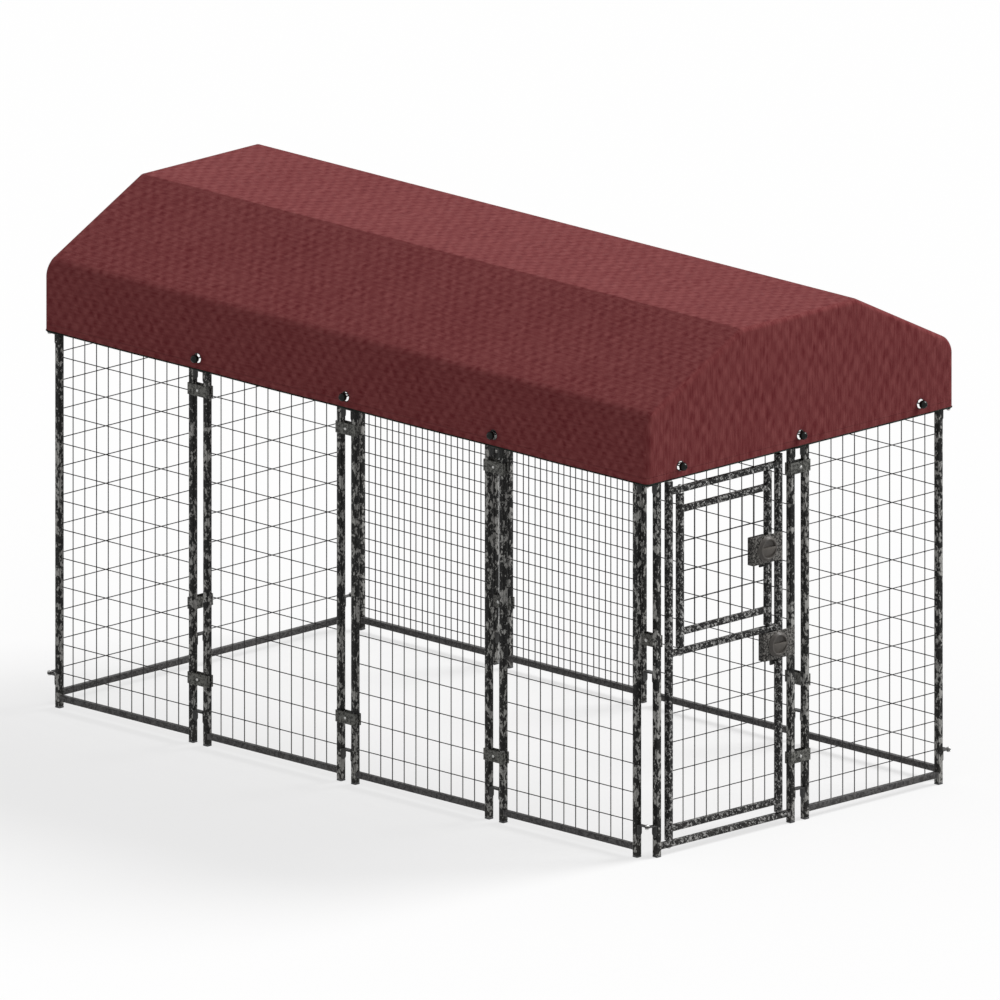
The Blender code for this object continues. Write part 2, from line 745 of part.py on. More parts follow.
def latch_knob():
    """A round cup with a grip bar across it, turned about Y, front towards -Y, back at Y = 0."""
    rim_inner = KNOB_FRONT_RADIUS - KNOB_RIM
    profile = [
        (0.0, 0.0),
        (KNOB_RADIUS, 0.0),
        (KNOB_RADIUS, KNOB_SKIRT),
        (KNOB_FRONT_RADIUS, KNOB_DEPTH),
        (rim_inner, KNOB_DEPTH),
        (rim_inner - KNOB_RECESS_DRAFT, KNOB_FLOOR),
        (0.0, KNOB_FLOOR),
    ]
    knob = turned(profile, KNOB_SIDES)
    reach = KNOB_FRONT_RADIUS - KNOB_RIM / 2
    half = KNOB_BAR_HEIGHT / 2
    bar = boxes(((-reach, -half, KNOB_FLOOR - WELD), (reach, half, KNOB_DEPTH - RUNNING_GAP)))
    join(knob, bar)
    socket_ends = ((0.0, 0.0, -KNOB_SKIRT), (0.0, 0.0, KNOB_SOCKET_DEPTH))
    cut(knob, rods(SPINDLE_RADIUS + FIT, HOLE_SIDES, socket_ends))
    return moved(knob, Matrix.Rotation(math.pi / 2, 4, "X"))


def latch_cam(stop_offset):
    """A spindle about Y with a cam behind it that hangs down at rest, and turns behind the stop."""
    cam_front = POST / 2 + RUNNING_GAP
    cam_back = cam_front + CAM_THICK
    spindle = rods(
        SPINDLE_RADIUS,
        HOLE_SIDES,
        ((0.0, KNOB_BACK - KNOB_SOCKET_DEPTH + FIT, 0.0), (0.0, cam_front + CAM_THICK / 2, 0.0)),
    )
    reach = stop_offset - POST / 2 - spindle_x() + CAM_LAP
    half = CAM_WIDTH / 2
    steps = [math.pi * step / CAM_ROUND_STEPS for step in range(CAM_ROUND_STEPS + 1)]
    top = [(half * math.cos(angle), half * math.sin(angle)) for angle in steps]
    foot = [(-half, -reach + CAM_CORNER), (CAM_CORNER - half, -reach)]
    points = top + foot + [(-x, z) for x, z in reversed(foot)]
    stand = Matrix.Rotation(math.pi / 2, 4, "X")
    plate = moved(outline(points, CAM_THICK), stand, Matrix.Translation((0, (cam_front + cam_back) / 2, 0)))
    return join(spindle, plate)


def add_latch(name, axis, stile_x, z, cell, stop_offset, wire, crossing_rows):
    """A housing on the stile, a knob in front of it and a cam behind, which turn together."""
    housing = latch_housing(cell, stop_offset, wire, crossing_rows)
    place(name + "_housing", mesh_of(housing), "clamp_plate", location=(stile_x, 0.0, z), parent=axis)
    turning = axis_point(name + "_axis", (stile_x + spindle_x(), 0.0, z), parent=axis)
    place(name + "_knob", mesh_of(latch_knob()), "knob_plastic", location=(0, KNOB_BACK, 0), parent=turning)
    place(name + "_cam", mesh_of(latch_cam(stop_offset)), "zinc_steel", parent=turning)


def add_latches():
    """The door's latch hangs under its middle rail, the hatch's sits just over its middle wire."""
    door_z = main_latch_z()
    add_latch("main_latch", door_axis, DOOR_SPAN, door_z, DOOR_CELL, DOOR_STOP_OFFSET, WIRE, [])
    rows = hatch_rows()
    middle = rows[len(rows) // 2]
    hatch_z = middle + HATCH_WIRE / 2 + RUNNING_GAP + SPINDLE_RADIUS
    crossing = [row - hatch_z for row in rows if abs(row - hatch_z) < LATCH_HEIGHT / 2]
    add_latch(
        "hatch_latch", hatch_axis, HATCH_SPAN, hatch_z, HATCH_CELL, HATCH_STOP_OFFSET, HATCH_WIRE, crossing
    )


def bolt(grip):
    """A bolt about Z with its nut, round plates of this thickness from Z = 0 down."""
    under = -grip - FIT
    shank = rods(BOLT_RADIUS, HEX_SIDES, ((0, 0, under - NUT_HEIGHT / 2), (0, 0, FIT + BOLT_HEAD_HEIGHT / 2)))
    head = rods(BOLT_HEAD_RADIUS, HEX_SIDES, ((0, 0, FIT), (0, 0, FIT + BOLT_HEAD_HEIGHT)))
    nut = rods(BOLT_HEAD_RADIUS, HEX_SIDES, ((0, 0, under - NUT_HEIGHT), (0, 0, under)))
    return join(shank, head, nut)


def clamp():
    """Two pressed halves over a pair of posts, drawn together by a bolt between the posts."""
    inner = JOINT_GAP / 2 + POST + CLAMP_SIDE_GAP
    outer = inner + CLAMP_PLATE
    seat = POST / 2 + FIT
    face = seat + CLAMP_PLATE
    points = [
        (-outer, CLAMP_OPEN_HALF),
        (-outer, face),
        (outer, face),
        (outer, CLAMP_OPEN_HALF),
        (inner, CLAMP_OPEN_HALF),
        (inner, seat),
        (-inner, seat),
        (-inner, CLAMP_OPEN_HALF),
    ]
    halves = outline(points, CLAMP_HEIGHT)
    join(halves, outline([(x, -y) for x, y in points], CLAMP_HEIGHT))
    lie = Matrix.Rotation(math.pi / 2, 4, "X")
    shank_ends = ((0, 0, -face - NUT_HEIGHT / 2), (0, 0, face + BOLT_HEAD_HEIGHT / 2))
    shank = rods(BOLT_RADIUS, CLAMP_BOLT_SIDES, shank_ends)
    head = rods(BOLT_HEAD_RADIUS, HEX_SIDES, ((0, 0, face - WELD), (0, 0, face + BOLT_HEAD_HEIGHT)))
    nut = rods(BOLT_HEAD_RADIUS, HEX_SIDES, ((0, 0, -face - NUT_HEIGHT), (0, 0, WELD - face)))
    return join(halves, moved(shank, lie), moved(head, lie), moved(nut, lie))


def sides():
    """Each side's name, panel count, start corner and turn. Every panel's end meets the next one's start."""
    quarter = math.pi / 2
    return (
        ("left", LONG_PANELS, Vector((-HALF_LONG, -SIDE_Y, 0.0)), 0.0),
        ("front", END_PANELS, Vector((END_X, -HALF_END, 0.0)), quarter),
        ("right", LONG_PANELS, Vector((HALF_LONG, SIDE_Y, 0.0)), 2 * quarter),
        ("back", END_PANELS, Vector((-END_X, HALF_END, 0.0)), 3 * quarter),
    )


def along_side(turn):
    return Vector((math.cos(turn), math.sin(turn), 0.0))


def number_from_front(side, index, count):
    """A panel's or a joint's number on its side, counted from the door end, or from the left there."""
    return index + 1 if side in ("front", "right") else count - index


def add_panels():
    plain = mesh_of(plain_panel())
    for side, count, start, turn in sides():
        for index in range(count):
            spot = start + along_side(turn) * PANEL_PITCH * index
            if side == "front" and index == 0:
                place("door_frame", mesh_of(door_frame()), "hammered_black", spot, turn)
                place("door_frame_mesh", mesh_of(door_frame_mesh()), "hammered_black", spot, turn)
                continue
            name = f"{side}_panel_{number_from_front(side, index, count)}"
            place(name, plain, "hammered_black", spot, turn)


def add_clamps():
    mesh = mesh_of(clamp())
    for side, count, start, turn in sides():
        for index in range(count - 1):
            spot = start + along_side(turn) * (PANEL_PITCH * (index + 1) - JOINT_GAP / 2)
            number = number_from_front(side, index, count - 1)
            for level, z in (("lower", LOWER_CLAMP_Z), ("upper", PANEL_HEIGHT - UPPER_CLAMP_DROP)):
                place(f"clamp_{side}_{number}_{level}", mesh, "clamp_plate", spot + Vector((0, 0, z)), turn)


def add_corner_bolts():
    grip = 2 * TAB_THICK + FIT
    mesh = mesh_of(bolt(grip))
    corners = (
        ("front_left", END_X, -SIDE_Y),
        ("front_right", END_X, SIDE_Y),
        ("back_right", -END_X, SIDE_Y),
        ("back_left", -END_X, -SIDE_Y),
    )
    for corner, x, y in corners:
        for level, z in (("lower", LOWER_TAB_Z), ("upper", PANEL_HEIGHT - UPPER_TAB_DROP)):
            place(f"corner_bolt_{corner}_{level}", mesh, "zinc_steel", (x, y, z + grip))


def rounded_path(corners, radius, most_turn):
    """The points of a line that turns each inner corner with this radius, at most so far at a point."""
    points = [Vector(corners[0])]
    for before, corner, after in zip(corners, corners[1:], corners[2:]):
        corner = Vector(corner)
        arriving = (corner - Vector(before)).normalized()
        leaving = (Vector(after) - corner).normalized()
        turn = arriving.angle(leaving)
        steps = max(1, round(turn / most_turn))
        tangent = radius * math.tan(turn / 2)
        towards_centre = (leaving - arriving).normalized()
        centre = corner + towards_centre * radius / math.cos(turn / 2)
        first = corner - arriving * tangent - centre
        axis = arriving.cross(leaving).normalized()
        for step in range(steps + 1):
            points.append(centre + Matrix.Rotation(turn * step / steps, 3, axis) @ first)
    points.append(Vector(corners[-1]))
    return points


def bow_path(x, extra):
    """A bow's middle line from foot to foot, with this much more below the foot plates."""
    foot = FOOT_PLATE_Z + FOOT_PLATE / 2 - extra
    corners = [
        (x, -BOW_Y, foot),
        (x, -BOW_Y, BOW_EAVE_Z),
        (x, -RIDGE_Y, BOW_TOP_Z),
        (x, RIDGE_Y, BOW_TOP_Z),
        (x, BOW_Y, BOW_EAVE_Z),
        (x, BOW_Y, foot),
    ]
    leg = BOW_EAVE_Z - FOOT_PLATE_Z - FOOT_PLATE
    bend = min(BOW_BEND, leg / math.tan((math.pi / 2 - ROOF_SLOPE) / 2))
    return rounded_path(corners, bend, BOW_STEP)


def foot_bar(low, high):
    """A level strip of a bow's foot plate."""
    return boxes(((*low, FOOT_PLATE_Z), (*high, FOOT_PLATE_Z + FOOT_PLATE)))


def foot_peg(x, y):
    """A square peg from a foot plate down into a post's open top."""
    half = BORE / 2 - PEG_CLEARANCE
    top = FOOT_PLATE_Z + FOOT_PLATE / 2
    return boxes(((x - half, y - half, top - PEG_LENGTH), (x + half, y + half, top)))


def straight_feet():
    """Feet of a bow over a straight joint: each bridges two posts in line."""
    half = POST / 2 - FOOT_PLATE_MARGIN
    middle = (JOINT_GAP + POST) / 2
    end = middle + BORE / 2
    solids = []
    for y in (-SIDE_Y, SIDE_Y):
        bar = foot_bar((-end, y - half), (end, y + half))
        solids.append(join(bar, foot_peg(-middle, y), foot_peg(middle, y)))
    return solids


def corner_feet():
    """Feet of the front end's bow: each bridges the two posts that meet at a corner.

    A foot is an L whose outer corner is cut off where the cover rounds it.
    """
    half = POST / 2 - FOOT_PLATE_MARGIN
    offset = CORNER_REACH + POST / 2
    end = offset + BORE / 2
    cut_from = BOW_RADIUS * math.sqrt(2) + END_BOW_X - END_X + BOW_Y - SIDE_Y - FIT - half
    corner = [(-end, half), (cut_from, half), (half, cut_from), (half, -end)]
    corner += [(-half, -end), (-half, -half), (-end, -half)]
    lift = Matrix.Translation((0, 0, FOOT_PLATE_Z + FOOT_PLATE / 2))
    solids = []
    for sign in (-1, 1):
        plate = moved(outline([(x, sign * (SIDE_Y + y)) for x, y in corner], FOOT_PLATE), lift)
        solids.append(join(plate, foot_peg(-offset, sign * SIDE_Y), foot_peg(0.0, sign * (SIDE_Y - offset))))
    return solids


def bow(feet, x):
    """A bent tube over the run, with feet that plug into the posts and cradles for the ridge tubes."""
    frame = sweep(bow_path(x, 0.0), BOW_RADIUS, 2)
    low = x - CRADLE_LENGTH / 2
    high = x + CRADLE_LENGTH / 2
    wide = CRADLE_WIDTH / 2
    cradles = boxes(
        *(((low, y - wide, BOW_TOP_Z), (high, y + wide, RIDGE_Z - RUNNING_GAP)) for y in (-RIDGE_Y, RIDGE_Y))
    )
    past = CRADLE_LENGTH
    seats = rods(
        around(RIDGE_RADIUS + FIT, RIDGE_BORE_SIDES),
        RIDGE_BORE_SIDES,
        *(((x - past, y, RIDGE_Z), (x + past, y, RIDGE_Z)) for y in (-RIDGE_Y, RIDGE_Y)),
    )
    cut(cradles, seats)
    join(frame, cradles, *feet)
    return cut(frame, sweep(bow_path(x, 2 * FOOT_PLATE), BOW_RADIUS - BOW_WALL, 1))


def add_roof_frame():
    """Bows at both ends and over some of the long sides' joints, and two tubes along them."""
    end_mesh = mesh_of(bow(corner_feet(), END_BOW_X - END_X))
    middle_mesh = mesh_of(bow(straight_feet(), 0.0))
    place("roof_bow_front", end_mesh, "hammered_black", (END_X, 0, 0))
    place("roof_bow_back", end_mesh, "hammered_black", (-END_X, 0, 0), math.pi)
    for number, index in enumerate(range(PANELS_PER_BOW, LONG_PANELS, PANELS_PER_BOW), start=1):
        x = HALF_LONG + JOINT_GAP / 2 - index * PANEL_PITCH
        place(f"roof_bow_middle_{number}", middle_mesh, "hammered_black", (x, 0, 0))
    reach = COVER_HALF_X - COVER_CORNER
    tube = rods(RIDGE_RADIUS, RIDGE_SIDES, ((-reach, 0, 0), (reach, 0, 0)))
    past = reach + RIDGE_RADIUS
    cut(tube, rods(RIDGE_RADIUS - BOW_WALL, RIDGE_BORE_SIDES, ((-past, 0, 0), (past, 0, 0))))
    tube_mesh = mesh_of(tube)
    place("ridge_tube_left", tube_mesh, "hammered_black", (0, -RIDGE_Y, RIDGE_Z))
    place("ridge_tube_right", tube_mesh, "hammered_black", (0, RIDGE_Y, RIDGE_Z))


def cover_profile():
    """The cover's outer line across the run, from hem to hem, in the plane X = 0."""
    left = [(0.0, -COVER_HALF_Y, HEM_Z), (0.0, -COVER_HALF_Y, EAVE_Z), (0.0, -FLAT_HALF, ROOF_Z)]
    eave = rounded_path(left, EAVE_RADIUS, COVER_STEP)[:-1]
    crease = rounded_path([left[1], left[2], (0.0, 0.0, ROOF_Z)], RIDGE_INSET, COVER_STEP)[1:-1]
    half = eave + crease
    return half + [Vector((0.0, -point.y, point.z)) for point in reversed(half)]


def tie_places():
    """Each side's name with the places of its ball ties, as the distance along the side from its middle."""
    corner_cell = -HALF_END + POST + END_TIE_CELL * PANEL_CELL
    long_joints = [HALF_LONG + JOINT_GAP / 2 - (index + 1) * PANEL_PITCH for index in range(LONG_PANELS - 1)]
    end_joints = [HALF_END + JOINT_GAP / 2 - (index + 1) * PANEL_PITCH for index in range(END_PANELS - 1)]
    return {"long": sorted(long_joints), "end": sorted(end_joints + [corner_cell, -corner_cell])}


def grommet_holes():
    """Round holes through the skirt for the ball ties."""
    places = tie_places()
    reach = COVER_THICK + COVER_FIT
    ends = []
    for sign in (-1, 1):
        y = sign * COVER_HALF_Y
        x = sign * COVER_HALF_X
        ends += [((along, y - reach, TIE_Z), (along, y + reach, TIE_Z)) for along in places["long"]]
        ends += [((x - reach, along, TIE_Z), (x + reach, along, TIE_Z)) for along in places["end"]]
    return rods(GROMMET_RADIUS, GROMMET_SIDES, *ends)


def add_cover():
    """A fitted cloth: flat along the top, sloping to rounded eaves, with a skirt down to the hem."""
    bm = bmesh.new()
    verts = [bm.verts.new(point - Vector((COVER_HALF_X, 0, 0))) for point in cover_profile()]
    edges = [bm.edges.new(pair) for pair in zip(verts, verts[1:] + verts[:1])]
    gable = bmesh.ops.contextual_create(bm, geom=edges)["faces"]
    swept = bmesh.ops.extrude_face_region(bm, geom=gable, use_keep_orig=True)["geom"]
    far = [item for item in swept if isinstance(item, bmesh.types.BMVert)]
    bmesh.ops.translate(bm, verts=far, vec=(2 * COVER_HALF_X, 0, 0))
    hems = [face for face in bm.faces if all(abs(vert.co.z - HEM_Z) < 1e-6 for vert in face.verts)]
    bmesh.ops.delete(bm, geom=hems, context="FACES_ONLY")
    bmesh.ops.recalc_face_normals(bm, faces=bm.faces)
    gable_edges = [
        edge
        for edge in bm.edges
        if len(edge.link_faces) == 2
        and abs(edge.verts[0].co.x) > COVER_HALF_X - 1e-6
        and abs(edge.verts[0].co.x - edge.verts[1].co.x) < 1e-6
    ]
    bmesh.ops.bevel(
        bm, geom=gable_edges, offset=COVER_CORNER, segments=CORNER_SEGMENTS, profile=0.5, affect="EDGES"
    )
    cloth = bpy.data.meshes.new("cover")
    bm.to_mesh(cloth)
    bm.free()
    smooth(cloth)
    cover = place("cover", cloth, "cover_cloth")
    wall = cover.modifiers.new("wall", "SOLIDIFY")
    wall.thickness = COVER_THICK
    wall.offset = -1.0
    wall.use_even_offset = True
    holes = grommet_holes()
    holes.name = "grommet_holes"
    grommets = cover.modifiers.new("grommets", "BOOLEAN")
    grommets.operation = "DIFFERENCE"
    grommets.solver = "EXACT"
    grommets.object = holes


def ball_ties(places):
    """Balls in front of a skirt on loops of one elastic cord that runs behind the panels, outside to -Y."""
    cord_y = POST / 2 + FIT + ELASTIC_RADIUS
    ball_y = -(POST / 2 + COVER_FIT + COVER_THICK + BALL_STAND_OFF)
    cord_ends = ((places[0] - BALL_RADIUS, cord_y, 0), (places[-1] + BALL_RADIUS, cord_y, 0))
    cord = rods(ELASTIC_RADIUS, ELASTIC_SIDES, cord_ends)
    loops = rods(LOOP_RADIUS, LOOP_SIDES, *(((x, ball_y, 0), (x, cord_y, 0)) for x in places))
    bm = bmesh.new()
    for x in places:
        spot = Matrix.Translation((x, ball_y, 0))
        bmesh.ops.create_icosphere(bm, subdivisions=2, radius=BALL_RADIUS, matrix=spot)
    return join(cord, loops, solid_from(bm))


def add_ball_ties():
    places = tie_places()
    for side, _, start, turn in sides():
        is_long = side in ("left", "right")
        where = Vector((0, start.y, TIE_Z)) if is_long else Vector((start.x, 0, TIE_Z))
        ties = ball_ties(places["long" if is_long else "end"])
        place(f"ball_ties_{side}", mesh_of(ties), "ball_plastic", where, turn)


clear_scene()
cutters = make_collection("cutters", is_helper=True)
run = make_collection("wire_dog_run")
materials = make_materials()
door_axis = axis_point("main_door_axis", (END_X, HINGE_X - HALF_END, 0.0), math.pi / 2)
hatch_axis = axis_point("hatch_axis", (HATCH_HINGE_X, 0.0, 0.0), parent=door_axis)

add_panels()
place("main_door", mesh_of(door_leaf()), "door_paint", parent=door_axis)
place("main_door_mesh", mesh_of(door_mesh()), "door_paint", parent=door_axis)
place("hatch_door", mesh_of(hatch_leaf()), "door_paint", parent=hatch_axis)
add_hinge_pins()
add_latches()
add_clamps()
add_corner_bolts()
add_roof_frame()
add_cover()
add_ball_ties()
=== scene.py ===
"""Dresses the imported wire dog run: mottled tubes, welded wire, clamps, latches and a fitted woven cover.

Lengths are in metres, +Z is up, the door is at the +X end, and a side is made with its outside towards -Y.
"""

import logging
import math
from collections.abc import Callable, Iterable, Iterator, Sequence
from contextlib import contextmanager
from dataclasses import dataclass, field
from enum import Enum

import bmesh
import bpy
import numpy as np
from mathutils import Euler, Matrix, Vector


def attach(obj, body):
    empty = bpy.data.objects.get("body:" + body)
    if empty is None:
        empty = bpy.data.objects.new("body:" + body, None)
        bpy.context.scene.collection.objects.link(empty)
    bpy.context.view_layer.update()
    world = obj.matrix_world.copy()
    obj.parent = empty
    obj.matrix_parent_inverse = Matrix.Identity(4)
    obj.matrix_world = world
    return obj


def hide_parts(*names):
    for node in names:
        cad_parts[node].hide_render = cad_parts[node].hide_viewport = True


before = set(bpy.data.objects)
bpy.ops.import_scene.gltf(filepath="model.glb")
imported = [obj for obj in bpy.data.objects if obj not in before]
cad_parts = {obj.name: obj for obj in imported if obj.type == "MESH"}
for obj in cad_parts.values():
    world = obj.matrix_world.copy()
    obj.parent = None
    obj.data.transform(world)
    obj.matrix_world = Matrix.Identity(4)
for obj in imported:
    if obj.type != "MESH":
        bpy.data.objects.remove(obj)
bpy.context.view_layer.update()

log = logging.getLogger("wire_dog_run")

Piece = bpy.types.Object
Point = tuple[float, float, float]
Colour = tuple[float, float, float]
Socket = bpy.types.NodeSocket
Sockets = dict[str | int, Socket | float | tuple[float, ...]]
Test = Callable[[Vector, Vector], bool]

SMOOTH_ANGLE = math.radians(38)
QUARTER = math.pi / 2
LIE_DOWN = Matrix.Rotation(QUARTER, 4, "X")
HALF_TURN = Matrix.Rotation(math.pi, 4, "Z")

ON_PLANE = 1e-5  # how near a point of a mesh lies to a plane that it is on
SAME_POINT = 1e-6  # how near two points lie that are one
FACING = 0.99  # the least share of a direction that still faces along an axis
NO_AREA = 1e-20  # keeps a point without faces from a division by zero
FAR = 1.0  # beyond everything that a cut is to reach
EDGE = "edge"  # the point attribute that marks rounded edges
EDGE_GAIN = 20.0  # how fast a turn of the surface counts as a full edge


class Axis(Enum):
    """An axis by its index in a point."""

    X = 0
    Y = 1
    Z = 2


class Body(Enum):
    """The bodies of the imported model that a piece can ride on."""

    RUN = "run_frame"
    DOOR = "main_door"
    HATCH = "hatch"
    DOOR_LATCH = "main_latch"
    HATCH_LATCH = "hatch_latch"


class Slot(Enum):
    """The record's material slots."""

    FRAME = "hammered_black"
    DOOR = "door_paint"
    PLATE = "clamp_plate"
    KNOB = "knob_plastic"
    STEEL = "zinc_steel"
    CLOTH = "cover_cloth"
    BALL = "ball_plastic"


# Modelling tools


def select_only(*pieces: Piece) -> None:
    """Selects these pieces and nothing else, the first one active.

    Args:
        pieces: The pieces to select.
    """
    bpy.ops.object.select_all(action="DESELECT")
    for piece in pieces:
        piece.select_set(True)
    bpy.context.view_layer.objects.active = pieces[0]


def is_same(*values: float) -> bool:
    """Whether coordinates agree, so that what they belong to lies on one plane."""
    return max(values) - min(values) < ON_PLANE


@contextmanager
def editing(piece: Piece) -> Iterator[None]:
    """Keeps a piece in edit mode for a block of work."""
    select_only(piece)
    bpy.ops.object.mode_set(mode="EDIT")
    yield
    bpy.ops.object.mode_set(mode="OBJECT")


def pick(piece: Piece, kind: str, wanted: Callable[[bmesh.types.BMFace | bmesh.types.BMEdge], bool]) -> None:
    """Selects some faces or edges of the piece that is in edit mode, and nothing else.

    Args:
        piece: The piece in edit mode.
        kind: "FACE" or "EDGE".
        wanted: A test of a face or an edge.
    """
    bpy.ops.mesh.select_mode(type=kind)
    bpy.ops.mesh.select_all(action="DESELECT")
    mesh = bmesh.from_edit_mesh(piece.data)
    for element in mesh.faces if kind == "FACE" else mesh.edges:
        element.select_set(wanted(element))
    bmesh.update_edit_mesh(piece.data)


def pick_faces(piece: Piece, wanted: Test) -> None:
    """Selects the faces in edit mode whose middle and normal pass a test, and nothing else."""
    pick(piece, "FACE", lambda face: wanted(face.calc_center_median(), face.normal))


def pick_edges(piece: Piece, wanted: Test) -> None:
    """Selects the edges in edit mode whose two ends pass a test, and nothing else."""
    pick(piece, "EDGE", lambda edge: wanted(edge.verts[0].co, edge.verts[1].co))


def extrude(way: Point | Vector) -> None:
    """Extrudes the picked faces in edit mode."""
    bpy.ops.mesh.extrude_region_move(TRANSFORM_OT_translate={"value": way})


def resize(scale: Point, middle: Point = (0, 0, 0)) -> None:
    """Scales what is picked in edit mode about a point."""
    bpy.ops.transform.resize(value=scale, center_override=middle)


def split(place: Point | Vector, normal: Point | Vector, **settings: bool) -> None:
    """Picks all of the piece in edit mode and splits it along a plane."""
    bpy.ops.mesh.select_all(action="SELECT")
    bpy.ops.mesh.bisect(plane_co=place, plane_no=normal, **settings)


def round_edges(piece: Piece, width: float, steps: int, wanted: Test) -> None:
    """Bevels some edges of a piece.

    Args:
        piece: The piece, in object mode.
        width: How far the bevel reaches from the edge.
        steps: The bevel's segments.
        wanted: A test of an edge's two ends.
    """
    with editing(piece):
        pick_edges(piece, wanted)
        bpy.ops.mesh.bevel(offset=width, segments=steps, affect="EDGES")


def apply_modifier(piece: Piece, kind: str, **settings: object) -> None:
    """Adds a modifier to a piece and applies it.

    Args:
        piece: The piece.
        kind: The modifier's type.
        settings: Its values by name.
    """
    select_only(piece)
    modifier = piece.modifiers.new(kind.lower(), kind)
    for name, value in settings.items():
        setattr(modifier, name, value)
    bpy.ops.object.modifier_apply(modifier=modifier.name)


def bevel_sharp(piece: Piece, width: float, steps: int, angle: float) -> None:
    """Bevels every edge of a piece that turns by more than an angle in degrees."""
    limit = math.radians(angle)
    apply_modifier(piece, "BEVEL", width=width, segments=steps, limit_method="ANGLE", angle_limit=limit)


def discard(*pieces: Piece) -> None:
    """Removes pieces from the scene."""
    for piece in pieces:
        bpy.data.objects.remove(piece, do_unlink=True)


def primitive(add: Callable[..., set[str]], **settings: object) -> Piece:
    """Adds one of Blender's mesh primitives.

    Args:
        add: The primitive's operator.
        settings: The operator's settings.

    Returns:
        The primitive, with its size and place in its mesh.
    """
    bpy.ops.object.select_all(action="DESELECT")
    add(**settings)
    bpy.ops.object.transform_apply(location=True, rotation=True, scale=True)
    return bpy.context.object


def linked(name: str, data: bpy.types.ID) -> Piece:
    """A new object in the scene for a curve, a light or a camera."""
    made = bpy.data.objects.new(name, data)
    bpy.context.scene.collection.objects.link(made)
    return made


def bar(low: Point, high: Point, rounding: float = 0.0, steps: int = 2, along: Axis | None = None) -> Piece:
    """A box between two corners with rounded edges.

    Args:
        low: The lowest corner.
        high: The highest corner.
        rounding: How far each edge is rounded, or 0 to leave them.
        steps: The rounding's segments.
        along: The one axis whose edges are rounded, or None for all of them.

    Returns:
        The box.
    """
    low, high = Vector(low), Vector(high)
    piece = primitive(bpy.ops.mesh.primitive_cube_add, size=1.0, location=(low + high) / 2, scale=high - low)
    if rounding:

        def is_wanted(start: Vector, end: Vector) -> bool:
            """Whether an edge runs along the axis."""
            return along is None or abs((end - start).normalized()[along.value]) > FACING

        round_edges(piece, rounding, steps, is_wanted)
    return piece


def between(start: Point, end: Point) -> dict[str, float | Vector | Euler]:
    """The settings that lay a primitive's length from one point to another."""
    line = Vector(end) - Vector(start)
    middle = (Vector(start) + Vector(end)) / 2
    return {"depth": line.length, "location": middle, "rotation": line.to_track_quat("Z", "Y").to_euler()}


def rod(start: Point, end: Point, radius: float, sides: int, rounding: float = 0.0, steps: int = 2) -> Piece:
    """A round rod between two points, its ends rounded off.

    Args:
        start: The middle of one end.
        end: The middle of the other end.
        radius: Its radius.
        sides: Its sides.
        rounding: How far the ends' edges are rounded, or 0 to leave them.
        steps: The rounding's segments.

    Returns:
        The rod.
    """
    add = bpy.ops.mesh.primitive_cylinder_add
    piece = primitive(add, vertices=sides, radius=radius, **between(start, end))
    if rounding:
        towards = (Vector(end) - Vector(start)).normalized()

        def is_rim(first: Vector, second: Vector) -> bool:
            """Whether an edge lies round one of the ends."""
            return abs((second - first).normalized().dot(towards)) < 0.5

        round_edges(piece, rounding, steps, is_rim)
    return piece


def upright(low: float, high: float, radius: float, sides: int, rounding: float = 0, steps: int = 1) -> Piece:
    """A rod round the Z axis, between two heights."""
    return rod((0, 0, low), (0, 0, high), radius, sides, rounding, steps)


def cone(start: Point, end: Point, radii: tuple[float, float], sides: int) -> Piece:
    """A round taper between two points.

    Args:
        start: The middle of the first end.
        end: The middle of the second end.
        radii: The radius at each end.
        sides: Its sides.

    Returns:
        The taper.
    """
    add = bpy.ops.mesh.primitive_cone_add
    return primitive(add, vertices=sides, radius1=radii[0], radius2=radii[1], **between(start, end))


def cut_away(piece: Piece, *tools: Piece) -> None:
    """Cuts other pieces out of a piece and removes them.

    Args:
        piece: The piece that is cut.
        tools: The pieces to cut away.
    """
    for tool in tools:
        apply_modifier(piece, "BOOLEAN", operation="DIFFERENCE", solver="EXACT", object=tool)
        discard(tool)


def repeated(piece: Piece, count: int, step: Point) -> Piece:
    """Repeats a piece in a row.

    Args:
        piece: The first copy.
        count: How many copies there are in all.
        step: The way from one copy to the next.

    Returns:
        The same piece, with all copies in its mesh.
    """
    offset = {"use_relative_offset": False, "use_constant_offset": True, "constant_offset_displace": step}
    apply_modifier(piece, "ARRAY", count=count, **offset)
    return piece


def mark_edges(piece: Piece) -> None:
    """Marks every point by how much a narrow part of the surface turns there, as a rounded edge does.

    Args:
        piece: The piece, which gets the point attribute "edge", from 0 on flats to 1.
    """
    mesh = piece.data
    corners = np.empty(len(mesh.loops), dtype=np.int32)
    totals = np.empty(len(mesh.polygons), dtype=np.int32)
    areas = np.empty(len(mesh.polygons))
    normals = np.empty(3 * len(mesh.polygons))
    mesh.loops.foreach_get("vertex_index", corners)
    mesh.polygons.foreach_get("loop_total", totals)
    mesh.polygons.foreach_get("area", areas)
    mesh.polygons.foreach_get("normal", normals)
    areas *= areas  # so that the narrow faces of a rounded edge don't mark the flats beside them
    sums = np.zeros((len(mesh.vertices), 3))
    whole = np.zeros(len(mesh.vertices))
    np.add.at(sums, corners, np.repeat(normals.reshape(-1, 3) * areas[:, None], totals, axis=0))
    np.add.at(whole, corners, np.repeat(areas, totals))
    turn = 1.0 - np.linalg.norm(sums, axis=1) / np.maximum(whole, NO_AREA)
    mark = mesh.attributes.get(EDGE) or mesh.attributes.new(EDGE, "FLOAT", "POINT")
    mark.data.foreach_set("value", np.clip(EDGE_GAIN * turn, 0.0, 1.0))


